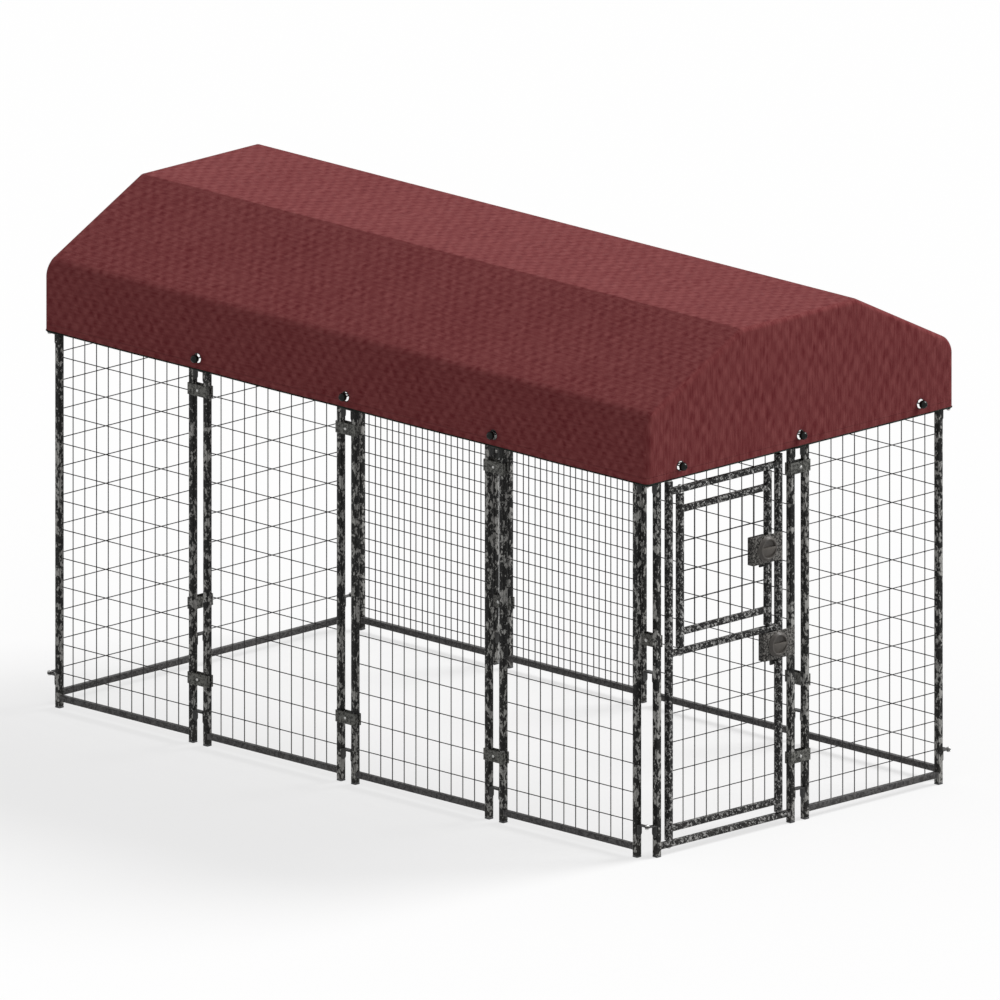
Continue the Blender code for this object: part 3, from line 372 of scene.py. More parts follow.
def joined(name: str, pieces: Sequence[Piece]) -> Piece:
    """Joins pieces into one, shaded smooth over its rounded edges.

    Args:
        name: The joined piece's name.
        pieces: The pieces.

    Returns:
        The joined piece.
    """
    select_only(*pieces)
    if len(pieces) > 1:
        bpy.ops.object.join()
    piece = bpy.context.object
    piece.name = piece.data.name = name
    mark_edges(piece)
    bpy.ops.object.shade_smooth_by_angle(angle=SMOOTH_ANGLE)
    return piece


def copied(piece: Piece, name: str, place: Matrix) -> Piece:
    """Copies a piece with a mesh of its own.

    Args:
        piece: The piece to copy.
        name: The copy's name.
        place: Where the copy's mesh is moved.

    Returns:
        The copy.
    """
    twin = piece.copy()
    twin.data = piece.data.copy()
    twin.name = twin.data.name = name
    bpy.context.scene.collection.objects.link(twin)
    return moved(twin, place)


def shift(x: float = 0.0, y: float = 0.0, z: float = 0.0) -> Matrix:
    """The matrix that moves a mesh by this much."""
    return Matrix.Translation((x, y, z))


def moved(piece: Piece, place: Matrix) -> Piece:
    """Moves a piece's mesh and returns the piece."""
    piece.data.transform(place)
    return piece


def painted(piece: Piece, material: bpy.types.Material) -> Piece:
    """Gives a piece one material and returns it."""
    piece.data.materials.clear()
    piece.data.materials.append(material)
    return piece


def bent_line(corners: Sequence[Point], radius: float, most_turn: float = math.radians(9)) -> list[Vector]:
    """The points of a line with rounded inner corners.

    Args:
        corners: The line's ends and corners.
        radius: Every corner's radius.
        most_turn: The most that the line turns at a point.

    Returns:
        The points.
    """
    points = [Vector(corners[0])]
    for before, corner, after in zip(corners, corners[1:], corners[2:]):
        corner = Vector(corner)
        arriving = (corner - Vector(before)).normalized()
        leaving = (Vector(after) - corner).normalized()
        turn = arriving.angle(leaving)
        steps = max(1, round(turn / most_turn))
        centre = corner + (leaving - arriving).normalized() * radius / math.cos(turn / 2)
        first = corner - arriving * radius * math.tan(turn / 2) - centre
        axis = arriving.cross(leaving).normalized()
        turns = (Matrix.Rotation(turn * step / steps, 3, axis) for step in range(steps + 1))
        points += [centre + part @ first for part in turns]
    return points + [Vector(corners[-1])]


def tube(points: Sequence[Vector], radius: float, sides: int, is_closed: bool = False) -> Piece:
    """A round tube along points, closed at its ends.

    Args:
        points: Its middle line.
        radius: Its radius.
        sides: Its sides, an even number from four up.
        is_closed: Whether its end meets its start.

    Returns:
        The tube.
    """
    curve = bpy.data.curves.new("tube", "CURVE")
    curve.dimensions = "3D"
    curve.bevel_depth = radius
    curve.bevel_resolution = sides // 2 - 2
    curve.use_fill_caps = True
    spline = curve.splines.new("POLY")
    spline.points.add(len(points) - 1)
    for point, place in zip(spline.points, points):
        point.co = (*place, 1.0)
    spline.use_cyclic_u = is_closed
    select_only(linked("tube", curve))
    bpy.ops.object.convert(target="MESH")
    piece = bpy.context.object
    with editing(piece):
        bpy.ops.mesh.select_all(action="SELECT")
        bpy.ops.mesh.remove_doubles(threshold=SAME_POINT)
        bpy.ops.mesh.normals_make_consistent(inside=False)
    return piece


def dress(piece: Piece, body: Body, slot: Slot, *nodes: str) -> Piece:
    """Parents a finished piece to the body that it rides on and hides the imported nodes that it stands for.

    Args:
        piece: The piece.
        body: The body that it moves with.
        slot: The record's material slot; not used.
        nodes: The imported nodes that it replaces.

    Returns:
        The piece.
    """
    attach(piece, body.value)
    if nodes:
        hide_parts(*nodes)
    log.info("%s rides on %s with %d faces", piece.name, body.value, len(piece.data.polygons))
    return piece


# Materials


class Tree:
    """Adds and links the nodes of one shader tree."""

    def __init__(self, tree: bpy.types.NodeTree) -> None:
        """Works on this tree."""
        self.tree = tree

    def add(self, kind: str, sockets: Sockets | None = None, **settings: object) -> bpy.types.Node:
        """Adds a node.

        Args:
            kind: The node's type.
            sockets: Its inputs by name or index, each a value or another node's output.
            settings: Its own values by name.

        Returns:
            The node.
        """
        node = self.tree.nodes.new(kind)
        for name, value in settings.items():
            setattr(node, name, value)
        self.feed(node, sockets or {})
        return node

    def feed(self, node: bpy.types.Node, sockets: Sockets) -> None:
        """Sets a node's inputs, given by name or index, each to a value or to another node's output."""
        for name, value in sockets.items():
            if isinstance(value, bpy.types.NodeSocket):
                self.tree.links.new(value, node.inputs[name])
            else:
                node.inputs[name].default_value = value

    def group(self, group: bpy.types.NodeTree, sockets: Sockets) -> bpy.types.bpy_prop_collection:
        """The outputs of a node group with these inputs."""
        return self.add("ShaderNodeGroup", sockets, node_tree=group).outputs

    def place(self) -> Socket:
        """The place on the piece, in metres."""
        return self.add("ShaderNodeTexCoord").outputs["Object"]

    def axes(self, vector: Socket) -> bpy.types.bpy_prop_collection:
        """A vector's X, Y and Z."""
        return self.add("ShaderNodeSeparateXYZ", {0: vector}).outputs

    def maths(self, operation: str, *values: Socket | float, is_clamped: bool = False) -> Socket:
        """A number worked out from others.

        Args:
            operation: The Math node's operation.
            values: Its inputs in order.
            is_clamped: Whether the result is kept from 0 to 1.

        Returns:
            The result.
        """
        sockets = dict(enumerate(values))
        return self.add("ShaderNodeMath", sockets, operation=operation, use_clamp=is_clamped).outputs[0]

    def vector(self, operation: str, *values: Socket | Point) -> Socket:
        """A vector worked out from others by this Vector Math operation."""
        return self.add("ShaderNodeVectorMath", dict(enumerate(values)), operation=operation).outputs[0]

    def scaled(self, vector: Socket, scale: Socket | float) -> Socket:
        """A vector times a number."""
        return self.add("ShaderNodeVectorMath", {0: vector, "Scale": scale}, operation="SCALE").outputs[0]

    def noise(self, vector: Socket, scale: float | Socket, detail: float, roughness: float = 0.5) -> Socket:
        """Smooth noise from 0 to 1 over a vector."""
        sockets = {"Vector": vector, "Scale": scale, "Detail": detail, "Roughness": roughness}
        return self.add("ShaderNodeTexNoise", sockets).outputs["Fac"]

    def ramp(self, value: Socket, low: float | Socket, high: float | Socket) -> Socket:
        """A smooth step from 0 at the low value to 1 at the high one."""
        sockets = {"Value": value, "From Min": low, "From Max": high}
        return self.add("ShaderNodeMapRange", sockets, interpolation_type="SMOOTHSTEP").outputs["Result"]

    def blend(self, share: Socket | float, first: Socket | tuple, second: Socket | tuple) -> Socket:
        """A colour between two others."""
        sockets = {0: share, FIRST_COLOUR: first, SECOND_COLOUR: second}
        return self.add("ShaderNodeMix", sockets, data_type="RGBA").outputs[MIXED_COLOUR]


KINDS = {"vector": "NodeSocketVector", "number": "NodeSocketFloat", "colour": "NodeSocketColor"}
FIRST_COLOUR, SECOND_COLOUR, MIXED_COLOUR = 6, 7, 2  # the Mix node's colour sockets, by index


def start_group(
    name: str, inputs: dict[str, str], outputs: dict[str, str]
) -> tuple[Tree, bpy.types.bpy_prop_collection, bpy.types.Node]:
    """Starts a shader node group.

    Args:
        name: The group's name.
        inputs: Each input's name and kind.
        outputs: Each output's name and kind.

    Returns:
        The group's tree, its inputs, and the node that takes its outputs.
    """
    tree = bpy.data.node_groups.new(name, "ShaderNodeTree")
    for sockets, way in ((inputs, "INPUT"), (outputs, "OUTPUT")):
        for socket, kind in sockets.items():
            tree.interface.new_socket(name=socket, in_out=way, socket_type=KINDS[kind])
    made = Tree(tree)
    return made, made.add("NodeGroupInput").outputs, made.add("NodeGroupOutput")


def mottle_group() -> bpy.types.NodeTree:
    """Blotches of two tones with ragged edges, as hammered paint dries, and finer grain inside them.

    Returns:
        The group, which puts out the colour, the blotches' mask and a height.
    """
    inputs = {"Vector": "vector", "Blotch": "number", "Cover": "number", "Softness": "number"}
    inputs |= {"Dark": "colour", "Light": "colour"}
    outputs = {"Color": "colour", "Mask": "number", "Height": "number"}
    tree, given, out = start_group("mottle", inputs, outputs)
    vein_scale, grain_scale = 2.3, 7.0
    vein_weight, grain_tone, vein_tone, darker = 0.75, 0.9, 1.3, -0.35
    glints, glint_share = (0.56, 0.74), 0.22
    grain_height, blotch_height = 0.3, 0.7
    scale = tree.maths("DIVIDE", 1.0, given["Blotch"])
    blotches = tree.noise(given["Vector"], scale, detail=4.0, roughness=0.66)
    veins = tree.noise(given["Vector"], tree.maths("MULTIPLY", scale, vein_scale), detail=3.0, roughness=0.7)
    grain = tree.noise(given["Vector"], tree.maths("MULTIPLY", scale, grain_scale), detail=2.0, roughness=0.6)
    rough = tree.maths("MULTIPLY_ADD", veins, vein_weight, tree.maths("SUBTRACT", blotches, vein_weight / 2))
    middle = tree.maths("SUBTRACT", 1.0, given["Cover"])
    low = tree.maths("SUBTRACT", middle, given["Softness"])
    high = tree.maths("ADD", middle, given["Softness"])
    mask = tree.ramp(rough, low, high)
    tone = tree.maths("MULTIPLY_ADD", grain, grain_tone, tree.maths("MULTIPLY_ADD", veins, vein_tone, darker))
    shade = tree.maths("MULTIPLY", mask, tone, is_clamped=True)
    glint = tree.maths("MULTIPLY", tree.ramp(grain, *glints), glint_share)
    shade = tree.maths("MAXIMUM", shade, glint)
    colour = tree.blend(shade, given["Dark"], given["Light"])
    height = tree.maths("MULTIPLY_ADD", grain, grain_height, tree.maths("MULTIPLY", mask, blotch_height))
    tree.feed(out, {"Color": colour, "Mask": mask, "Height": height})
    return tree.tree


def wear_group() -> bpy.types.NodeTree:
    """Rounded edges, as every piece's "edge" attribute marks them, broken up into patches.

    Returns:
        The group, which puts out a mask of the rounded edges: rubbed edges, painted shade on the hammered
        paints and a painted highlight on the knob's cup.
    """
    inputs = {"Vector": "vector", "Amount": "number", "Gaps": "number"}
    tree, given, out = start_group("edge wear", inputs, {"Mask": "number"})
    full_edge, fade = (0.4, 0.75), 0.2
    edge = tree.ramp(tree.add("ShaderNodeAttribute", attribute_name=EDGE).outputs["Fac"], *full_edge)
    low = given["Gaps"]
    patches = tree.noise(given["Vector"], scale=90.0, detail=3.0, roughness=0.6)
    patches = tree.ramp(patches, low, tree.maths("ADD", low, fade))
    mask = tree.maths("MULTIPLY", tree.maths("MULTIPLY", edge, patches), given["Amount"], is_clamped=True)
    tree.feed(out, {"Mask": mask})
    return tree.tree


def dust_group() -> bpy.types.NodeTree:
    """Dust and dried splashes that fade out above the ground.

    Returns:
        The group, which puts out a mask of the dust.
    """
    tree, given, out = start_group("ground dust", {"Vector": "vector", "Reach": "number"}, {"Mask": "number"})
    height = tree.axes(given["Vector"])["Z"]
    near = tree.maths("SUBTRACT", 1.0, tree.maths("DIVIDE", height, given["Reach"]), is_clamped=True)
    covered, fall = (0.35, 0.75), 2.0
    patches = tree.ramp(tree.noise(given["Vector"], scale=60.0, detail=4.0, roughness=0.65), *covered)
    mask = tree.maths("MULTIPLY", tree.maths("POWER", near, fall), patches, is_clamped=True)
    tree.feed(out, {"Mask": mask})
    return tree.tree


def weave_group() -> bpy.types.NodeTree:
    """A coarse woven cloth: soft light and dark dashes in turn, fine streaks along them, and threads.

    Returns:
        The group, which puts out a share from the dark dashes to the light ones, and a height.
    """
    inputs = {"Vector": "vector", "Length": "number", "Width": "number", "Thread": "number"}
    tree, given, out = start_group("weave", inputs, {"Share": "number", "Height": "number"})
    drift, straight, unevenness, faded = 0.042, 0.25, 0.85, (0.30, 0.68)
    streak_scale = (24.0, 130.0, 1.0)
    dash_weight, thread_weight, thread_height = 0.37, 0.10, 0.25
    streak_weight, grain_weight, patch_weight = 1.35, 0.4, 0.45
    place = given["Vector"]
    wander = tree.add("ShaderNodeTexNoise", {"Vector": place, "Scale": 21.0, "Detail": 3.0}).outputs["Color"]
    wander = tree.scaled(tree.vector("SUBTRACT", wander, (0.5, 0.5, 0.5)), drift)
    wandering = tree.axes(tree.vector("ADD", place, wander))
    along = tree.maths("DIVIDE", wandering["X"], given["Length"])
    across = tree.maths("DIVIDE", wandering["Y"], given["Width"])
    row = tree.maths("SINE", tree.maths("MULTIPLY", across, math.pi))
    dash = tree.maths("MULTIPLY", tree.maths("COSINE", tree.maths("MULTIPLY", along, 2 * math.pi)), row)
    uneven = tree.ramp(tree.noise(place, scale=16.0, detail=4.0, roughness=0.65), *faded)
    dash = tree.maths("MULTIPLY", dash, tree.maths("MULTIPLY_ADD", uneven, unevenness, straight))
    streaks = tree.noise(tree.vector("MULTIPLY", place, streak_scale), scale=1.0, detail=3.0, roughness=0.6)
    grain = tree.noise(place, scale=150.0, detail=2.0, roughness=0.55)
    patches = tree.noise(place, scale=5.0, detail=3.0, roughness=0.6)
    share = tree.maths("MULTIPLY_ADD", dash, dash_weight, 0.5)
    for noise, weight in ((streaks, streak_weight), (grain, grain_weight), (patches, patch_weight)):
        share = tree.maths("MULTIPLY_ADD", tree.maths("SUBTRACT", noise, 0.5), weight, share)
    thread = tree.axes(tree.scaled(place, tree.maths("DIVIDE", 2 * math.pi, given["Thread"])))
    fine = tree.maths("MULTIPLY", tree.maths("SINE", thread["X"]), tree.maths("SINE", thread["Y"]))
    share = tree.maths("MULTIPLY_ADD", fine, thread_weight, share, is_clamped=True)
    tree.feed(out, {"Share": share, "Height": tree.maths("MULTIPLY_ADD", fine, thread_height, share)})
    return tree.tree


@dataclass
class Effects:
    """The shader groups that several finishes share, each built once."""

    mottle: bpy.types.NodeTree = field(default_factory=mottle_group)
    wear: bpy.types.NodeTree = field(default_factory=wear_group)
    dust: bpy.types.NodeTree = field(default_factory=dust_group)
    weave: bpy.types.NodeTree = field(default_factory=weave_group)


BUMP_STRENGTH = 0.6


def start_material(
    name: str, roughness: float, metallic: float, specular: float
) -> tuple[bpy.types.Material, Tree, bpy.types.Node]:
    """Starts a material.

    Args:
        name: Its name.
        roughness: The shader's roughness.
        metallic: How much of it is metal.
        specular: The shader's specular level.

    Returns:
        The material, its tree and its Principled shader.
    """
    material = bpy.data.materials.new(name)
    material.use_nodes = True
    tree = Tree(material.node_tree)
    shader = material.node_tree.nodes["Principled BSDF"]
    tree.feed(shader, {"Roughness": roughness, "Metallic": metallic, "Specular IOR Level": specular})
    return material, tree, shader


def finish_material(tree: Tree, shader: bpy.types.Node, colour: Socket, height: Socket, depth: float) -> None:
    """Links a material's colour and its relief to the shader.

    Args:
        tree: The material's tree.
        shader: Its Principled shader.
        colour: The colour.
        height: The relief, from 0 to 1.
        depth: How deep the relief is, in metres.
    """
    bump = tree.add("ShaderNodeBump", {"Height": height, "Distance": depth, "Strength": BUMP_STRENGTH})
    tree.feed(shader, {"Base Color": colour, "Normal": bump.outputs["Normal"]})


@dataclass(frozen=True)
class MottledPaint:
    """Hammered paint: dark and light blotches that run into each other.

    Attributes:
        name: The material's name.
        dark: The colour between the blotches.
        light: The colour of the blotches.
        blotch: The blotches' size.
        stretch: How much longer they are along each axis.
        lean: How far they lean over.
        cover: The share that the light blotches take.
        softness: How soft their edges are.
        roughness: The shader's roughness.
        specular: The shader's specular level.
        pooled: How much painted shade darkens the rounded edges.
        gaps: How far the painted edge shade is broken up.
        dust: The colour of the dust above the ground.
        dust_reach: How high the dust reaches.
        dusty: How much of it there is.
        depth: How deep the blotches are.
    """

    name: str
    dark: Colour
    light: Colour
    blotch: float
    stretch: Point = (1.0, 1.0, 1.0)
    lean: float = 0.0
    cover: float = 0.5
    softness: float = 0.03
    roughness: float = 0.46
    specular: float = 0.14
    # Painted shade along the rounded edges, towards the dark colour.
    pooled: float = 0.8
    gaps: float = 0.2
    dust: Colour = (0.20, 0.185, 0.165)
    dust_reach: float = 0.16
    dusty: float = 0.22
    depth: float = 0.0006

    def material(self, effects: Effects) -> bpy.types.Material:
        """Builds the material.

        Args:
            effects: The shared shader groups.

        Returns:
            The material.
        """
        material, tree, shader = start_material(self.name, self.roughness, 0.0, self.specular)
        place = tree.place()
        dark, light = (*self.dark, 1.0), (*self.light, 1.0)
        sockets = {"Vector": place, "Scale": self.stretch, "Rotation": (self.lean, self.lean, 0.0)}
        mapping = tree.add("ShaderNodeMapping", sockets, vector_type="TEXTURE")
        sockets = {"Vector": mapping.outputs["Vector"], "Blotch": self.blotch, "Cover": self.cover}
        sockets |= {"Softness": self.softness, "Dark": dark, "Light": light}
        mottle = tree.group(effects.mottle, sockets)
        edge = tree.group(effects.wear, {"Vector": place, "Amount": self.pooled, "Gaps": self.gaps})
        dust = tree.group(effects.dust, {"Vector": place, "Reach": self.dust_reach})
        # Painted shade: the rounded edges are darkened towards the dark colour.
        colour = tree.blend(edge["Mask"], mottle["Color"], dark)
        dusty = tree.maths("MULTIPLY", dust["Mask"], self.dusty)
        colour = tree.blend(dusty, colour, (*self.dust, 1.0))
        finish_material(tree, shader, colour, mottle["Height"], self.depth)
        return material


@dataclass(frozen=True)
class GrainedFinish:
    """A finish of one colour with fine grain: bare or coated metal, wire, plastic, elastic.

    Attributes:
        name: The material's name.
        colour: The main colour.
        spread: How much lighter and darker the grain is.
        grain: The grain's size.
        roughness: The shader's roughness.
        metallic: How much of it is metal.
        specular: The shader's specular level.
        wear: How much of the rounded edges take the edge colour: rubbed edges on most finishes, a painted
            highlight on the knob's cup.
        worn: The colour of rubbed edges, and of the painted highlight on the knob's cup.
        gaps: How far that edge colour is broken up.
        depth: How deep the grain is.
    """

    name: str
    colour: Colour
    spread: float
    grain: float
    roughness: float
    metallic: float = 0.0
    specular: float = 0.4
    wear: float = 0.3
    worn: Colour = (0.20, 0.20, 0.20)
    gaps: float = 0.42
    depth: float = 0.0002

    def material(self, effects: Effects) -> bpy.types.Material:
        """Builds the material.

        Args:
            effects: The shared shader groups.

        Returns:
            The material.
        """
        material, tree, shader = start_material(self.name, self.roughness, self.metallic, self.specular)
        slow_scale, slow_weight, grain_weight, contrast = 0.12, 0.4, 0.6, (0.34, 0.66)
        place = tree.place()
        grain = tree.noise(place, 1.0 / self.grain, detail=3.0, roughness=0.62)
        slow = tree.noise(place, slow_scale / self.grain, detail=2.0, roughness=0.5)
        mixed = tree.maths("MULTIPLY_ADD", slow, slow_weight, tree.maths("MULTIPLY", grain, grain_weight))
        mask = tree.ramp(mixed, *contrast)
        dark = tuple(channel * (1.0 - self.spread) for channel in self.colour)
        light = tuple(channel * (1.0 + self.spread) for channel in self.colour)
        colour = tree.blend(mask, (*dark, 1.0), (*light, 1.0))
        wear = tree.group(effects.wear, {"Vector": place, "Amount": self.wear, "Gaps": self.gaps})
        # The rounded edges take the edge colour: rubbed edges on most finishes, a painted highlight on the
        # knob's cup.
        colour = tree.blend(wear["Mask"], colour, (*self.worn, 1.0))
        finish_material(tree, shader, colour, grain, self.depth)
        return material


WEAVE_MAP = "weave"


@dataclass(frozen=True)
class WovenCloth:
    """The cover's cloth, read from its own UV map, in metres along and across the dashes.

    Attributes:
        name: The material's name.
        dark: The colour of the dark dashes.
        light: The colour of the light ones.
        cell: A pair of dashes' length and a row's width.
        thread: The thread's pitch.
        hem: The hem band's height above the cover's lower edge.
        stitch: The stitches' pitch.
        stitch_half: The stitches' half width, fading out from the second number to the first.
        stitch_gap: Where along a stitch's wave it fades in, from -1 to 1.
        stitched: The colour of the stitches.
        stitch_share: How much of the cloth's colour they take.
        stitch_depth: How deep they lie, in shares of the weave's depth.
        roughness: The shader's roughness.
        specular: The shader's specular level.
        sheen: The sheen's weight and roughness.
        tint: The sheen's colour.
        depth: How deep the weave is.
    """

    name: str = "woven_cover"
    dark: Colour = (0.112, 0.014, 0.017)
    light: Colour = (0.208, 0.054, 0.054)
    cell: tuple[float, float] = (0.042, 0.028)
    thread: float = 0.0026
    hem: float = 0.019
    stitch: float = 0.0052
    stitch_half: tuple[float, float] = (0.0010, 0.0003)
    stitch_gap: tuple[float, float] = (-0.45, -0.15)
    stitched: Colour = (0.035, 0.006, 0.008)
    stitch_share: float = 0.7
    stitch_depth: float = 1.5
    roughness: float = 0.88
    specular: float = 0.09
    sheen: tuple[float, float] = (0.025, 0.4)
    tint: Colour = (0.9, 0.55, 0.55)
    depth: float = 0.0012

    def material(self, effects: Effects) -> bpy.types.Material:
        """Builds the material.

        Args:
            effects: The shared shader groups.

        Returns:
            The material.
        """
        material, tree, shader = start_material(self.name, self.roughness, 0.0, self.specular)
        tree.feed(shader, {"Sheen Weight": self.sheen[0], "Sheen Roughness": self.sheen[1]})
        tree.feed(shader, {"Sheen Tint": (*self.tint, 1.0)})
        place = tree.add("ShaderNodeUVMap", uv_map=WEAVE_MAP).outputs["UV"]
        sockets = {"Vector": place, "Length": self.cell[0], "Width": self.cell[1], "Thread": self.thread}
        weave = tree.group(effects.weave, sockets)
        colour = tree.blend(weave["Share"], (*self.dark, 1.0), (*self.light, 1.0))
        seam = self.seam(tree)
        colour = tree.blend(tree.maths("MULTIPLY", seam, self.stitch_share), colour, (*self.stitched, 1.0))
        height = tree.maths("SUBTRACT", weave["Height"], tree.maths("MULTIPLY", seam, self.stitch_depth))
        finish_material(tree, shader, colour, height, self.depth)
        return material

    def seam(self, tree: Tree) -> Socket:
        """The hem's row of stitches.

        Args:
            tree: The material's tree.

        Returns:
            A mask of the stitches.
        """
        place = tree.axes(tree.place())
        from_row = tree.maths("ABSOLUTE", tree.maths("SUBTRACT", place["Z"], ROOF.hem + self.hem))
        row = tree.ramp(from_row, *self.stitch_half)
        along = tree.maths("ADD", place["X"], place["Y"])
        stitch = tree.maths("SINE", tree.maths("MULTIPLY", along, 2 * math.pi / self.stitch))
        return tree.maths("MULTIPLY", row, tree.ramp(stitch, *self.stitch_gap))


class Finishes:
    """Every material of the run."""

    def __init__(self) -> None:
        """Builds the shared groups and the materials."""
        effects = Effects()

        def paint(*values: str | Colour | float, **rest: float | Point) -> bpy.types.Material:
            """A hammered paint: its name, dark and light colours, the blotches' size and the rest."""
            return MottledPaint(*values, **rest).material(effects)

        def grain(*values: str | Colour | float, **rest: float | Colour) -> bpy.types.Material:
            """A grained finish: its name, its colour, the grain's spread and size, and the rest."""
            return GrainedFinish(*values, **rest).material(effects)

        # Every hammered paint darkens its rounded edges with painted shade.
        self.post = paint(
            "post_paint", (0.0050, 0.0050, 0.0045), (0.360, 0.356, 0.338), 0.022,
            stretch=(1.0, 1.0, 1.55), cover=0.455,
        )
        self.gate = paint(
            "gate_paint", (0.0050, 0.0050, 0.0050), (0.410, 0.406, 0.396), 0.0108,
            stretch=(1.0, 1.0, 1.6), lean=0.6, cover=0.435,
        )
        self.rail = paint(
            "rail_paint", (0.030, 0.029, 0.030), (0.105, 0.103, 0.103), 0.012,
            cover=0.5, softness=0.12,
        )
        self.plate = paint(
            "plate_paint", (0.012, 0.011, 0.010), (0.230, 0.220, 0.205), 0.0064,
            cover=0.48, softness=0.04, pooled=0.2,
        )
        self.clamp = paint(
            "clamp_paint", (0.030, 0.030, 0.027), (0.200, 0.200, 0.184), 0.0070,
            cover=0.5, softness=0.07, pooled=0.9,
        )
        self.wire = grain(
            "wire_paint", (0.019, 0.018, 0.018), 0.45, 0.004,
            roughness=0.5, specular=0.25, wear=0.0,
        )
        self.weld = grain(
            "weld_bead", (0.13, 0.127, 0.12), 0.5, 0.002,
            roughness=0.5, specular=0.4, wear=0.0, depth=0.0004,
        )
        self.tab = grain("tab_paint", (0.045, 0.045, 0.044), 0.3, 0.003, roughness=0.5, specular=0.25)
        self.foot = grain(
            "foot_cap", (0.040, 0.040, 0.041), 0.2, 0.003,
            roughness=0.5, wear=0.9, worn=(0.30, 0.30, 0.30),
        )
        self.steel = grain(
            "bright_zinc", (0.42, 0.42, 0.41), 0.25, 0.002,
            roughness=0.34, metallic=0.85, worn=(0.6, 0.6, 0.6),
        )
        # The knob cup's light rims are a painted highlight, laid through the edge mask.
        self.knob = grain(
            "knob_cup", (0.070, 0.063, 0.057), 0.18, 0.0016,
            roughness=0.42, specular=0.3, wear=0.9, worn=(0.34, 0.32, 0.30),
        )
        self.grip = grain(
            "knob_grip", (0.098, 0.089, 0.080), 0.18, 0.0016,
            roughness=0.5, specular=0.2, wear=0.7, worn=(0.22, 0.21, 0.19),
        )
        self.cloth = WovenCloth().material(effects)
        self.hem = grain(
            "hem_binding", (0.011, 0.016, 0.013), 0.9, 0.005,
            roughness=0.9, specular=0.1, wear=0.0,
        )
        self.ball = grain(
            "tie_ball", (0.0032, 0.0050, 0.0040), 0.25, 0.002,
            roughness=0.24, specular=0.18, wear=0.0, depth=0.0001,
        )
        self.elastic = grain(
            "elastic_cord", (0.018, 0.018, 0.019), 0.6, 0.0009,
            roughness=0.8, specular=0.2, wear=0.0,
        )
        self.ring = grain("grommet_ring", (0.012, 0.011, 0.010), 0.3, 0.002, roughness=0.45, wear=0.0)


# The run's plan


class Side(Enum):
    """The run's sides in order round it, each with its name and its quarter turns from the left one."""

    LEFT = ("left", 0)
    FRONT = ("front", 1)
    RIGHT = ("right", 2)
    BACK = ("back", 3)

    @property
    def turn(self) -> Matrix:
        """How a piece that is made for the left side turns to lie on this one."""
        return Matrix.Rotation(self.value[1] * QUARTER, 4, "Z")

    @property
    def is_long(self) -> bool:
        """Whether this is one of the two long sides."""
        return self in (Side.LEFT, Side.RIGHT)

    def number(self, index: int, count: int) -> int:
        """A panel's or joint's number, counted from the door end, or from the left there."""
        return index + 1 if self in (Side.FRONT, Side.RIGHT) else count - index


@dataclass(frozen=True)
class Plan:
    """Where the panels stand, and what they are made of.

    Attributes:
        long_panels: The panels of a long side.
        end_panels: The panels of an end.
        columns: A panel's upright wires.
        pitch: The way from panel to panel.
        gap: The gap between their posts.
        post: The posts' width.
        rail: The rails' width.
        wall: The tubes' wall.
        height: The panels' height.
        corner_reach: The way from an end post's outer face to the plane of the side round the corner.
        fit: The gap between parts that touch.
        running_gap: The gap between parts that move past each other.
        tab: The thickness of the posts' tabs.
        lower_tab: The height of the lower ones.
        upper_tab_drop: How far the upper ones lie under the panels' height.
    """

    long_panels: int = 4
    end_panels: int = 2
    columns: int = 10
    pitch: float = 0.6096
    gap: float = 0.040
    post: float = 0.019
    rail: float = 0.018
    wall: float = 0.0015
    height: float = 1.290
    corner_reach: float = 0.0315
    fit: float = 0.0003
    running_gap: float = 0.001
    tab: float = 0.0023
    lower_tab: float = 0.095
    upper_tab_drop: float = 0.165

    @property
    def width(self) -> float:
        """A panel's width over its posts."""
        return self.pitch - self.gap

    @property
    def half_long(self) -> float:
        """Half the length of a long side's row of panels."""
        return (self.long_panels * self.pitch - self.gap) / 2

    @property
    def half_end(self) -> float:
        """Half the length of an end's row of panels."""
        return (self.end_panels * self.pitch - self.gap) / 2

    @property
    def end_x(self) -> float:
        """How far the ends' middle planes lie from the middle."""
        return self.half_long + self.corner_reach

    @property
    def side_y(self) -> float:
        """How far the long sides' middle planes lie from the middle."""
        return self.half_end + self.corner_reach

    @property
    def tab_heights(self) -> dict[str, float]:
        """The heights of a post's two tabs."""
        return {"lower": self.lower_tab, "upper": self.height - self.upper_tab_drop}

    def half(self, side: Side) -> float:
        """Half the length of a side's row of panels."""
        return self.half_long if side.is_long else self.half_end

    def count(self, side: Side) -> int:
        """How many panels stand on a side."""
        return self.long_panels if side.is_long else self.end_panels

    def spot(self, side: Side, along: float, height: float = 0.0) -> Matrix:
        """Where a piece goes that is made round the origin for the left side.

        Args:
            side: The side.
            along: How far it stands from the side's middle, in the side's own direction.
            height: How far it is lifted.

        Returns:
            The matrix that moves its mesh there.
        """
        out = self.side_y if side.is_long else self.end_x
        return side.turn @ shift(along, -out, height)

    def panel_spot(self, side: Side, index: int) -> Matrix:
        """Where the panel with this index on a side goes, made from its start at X = 0."""
        return self.spot(side, self.pitch * index - self.half(side))

    def joint_spot(self, side: Side, index: int, height: float) -> Matrix:
        """Where a piece goes that is centred on the joint after this panel."""
        return self.spot(side, self.pitch * (index + 1) - self.gap / 2 - self.half(side), height)


PLAN = Plan()


# Panels


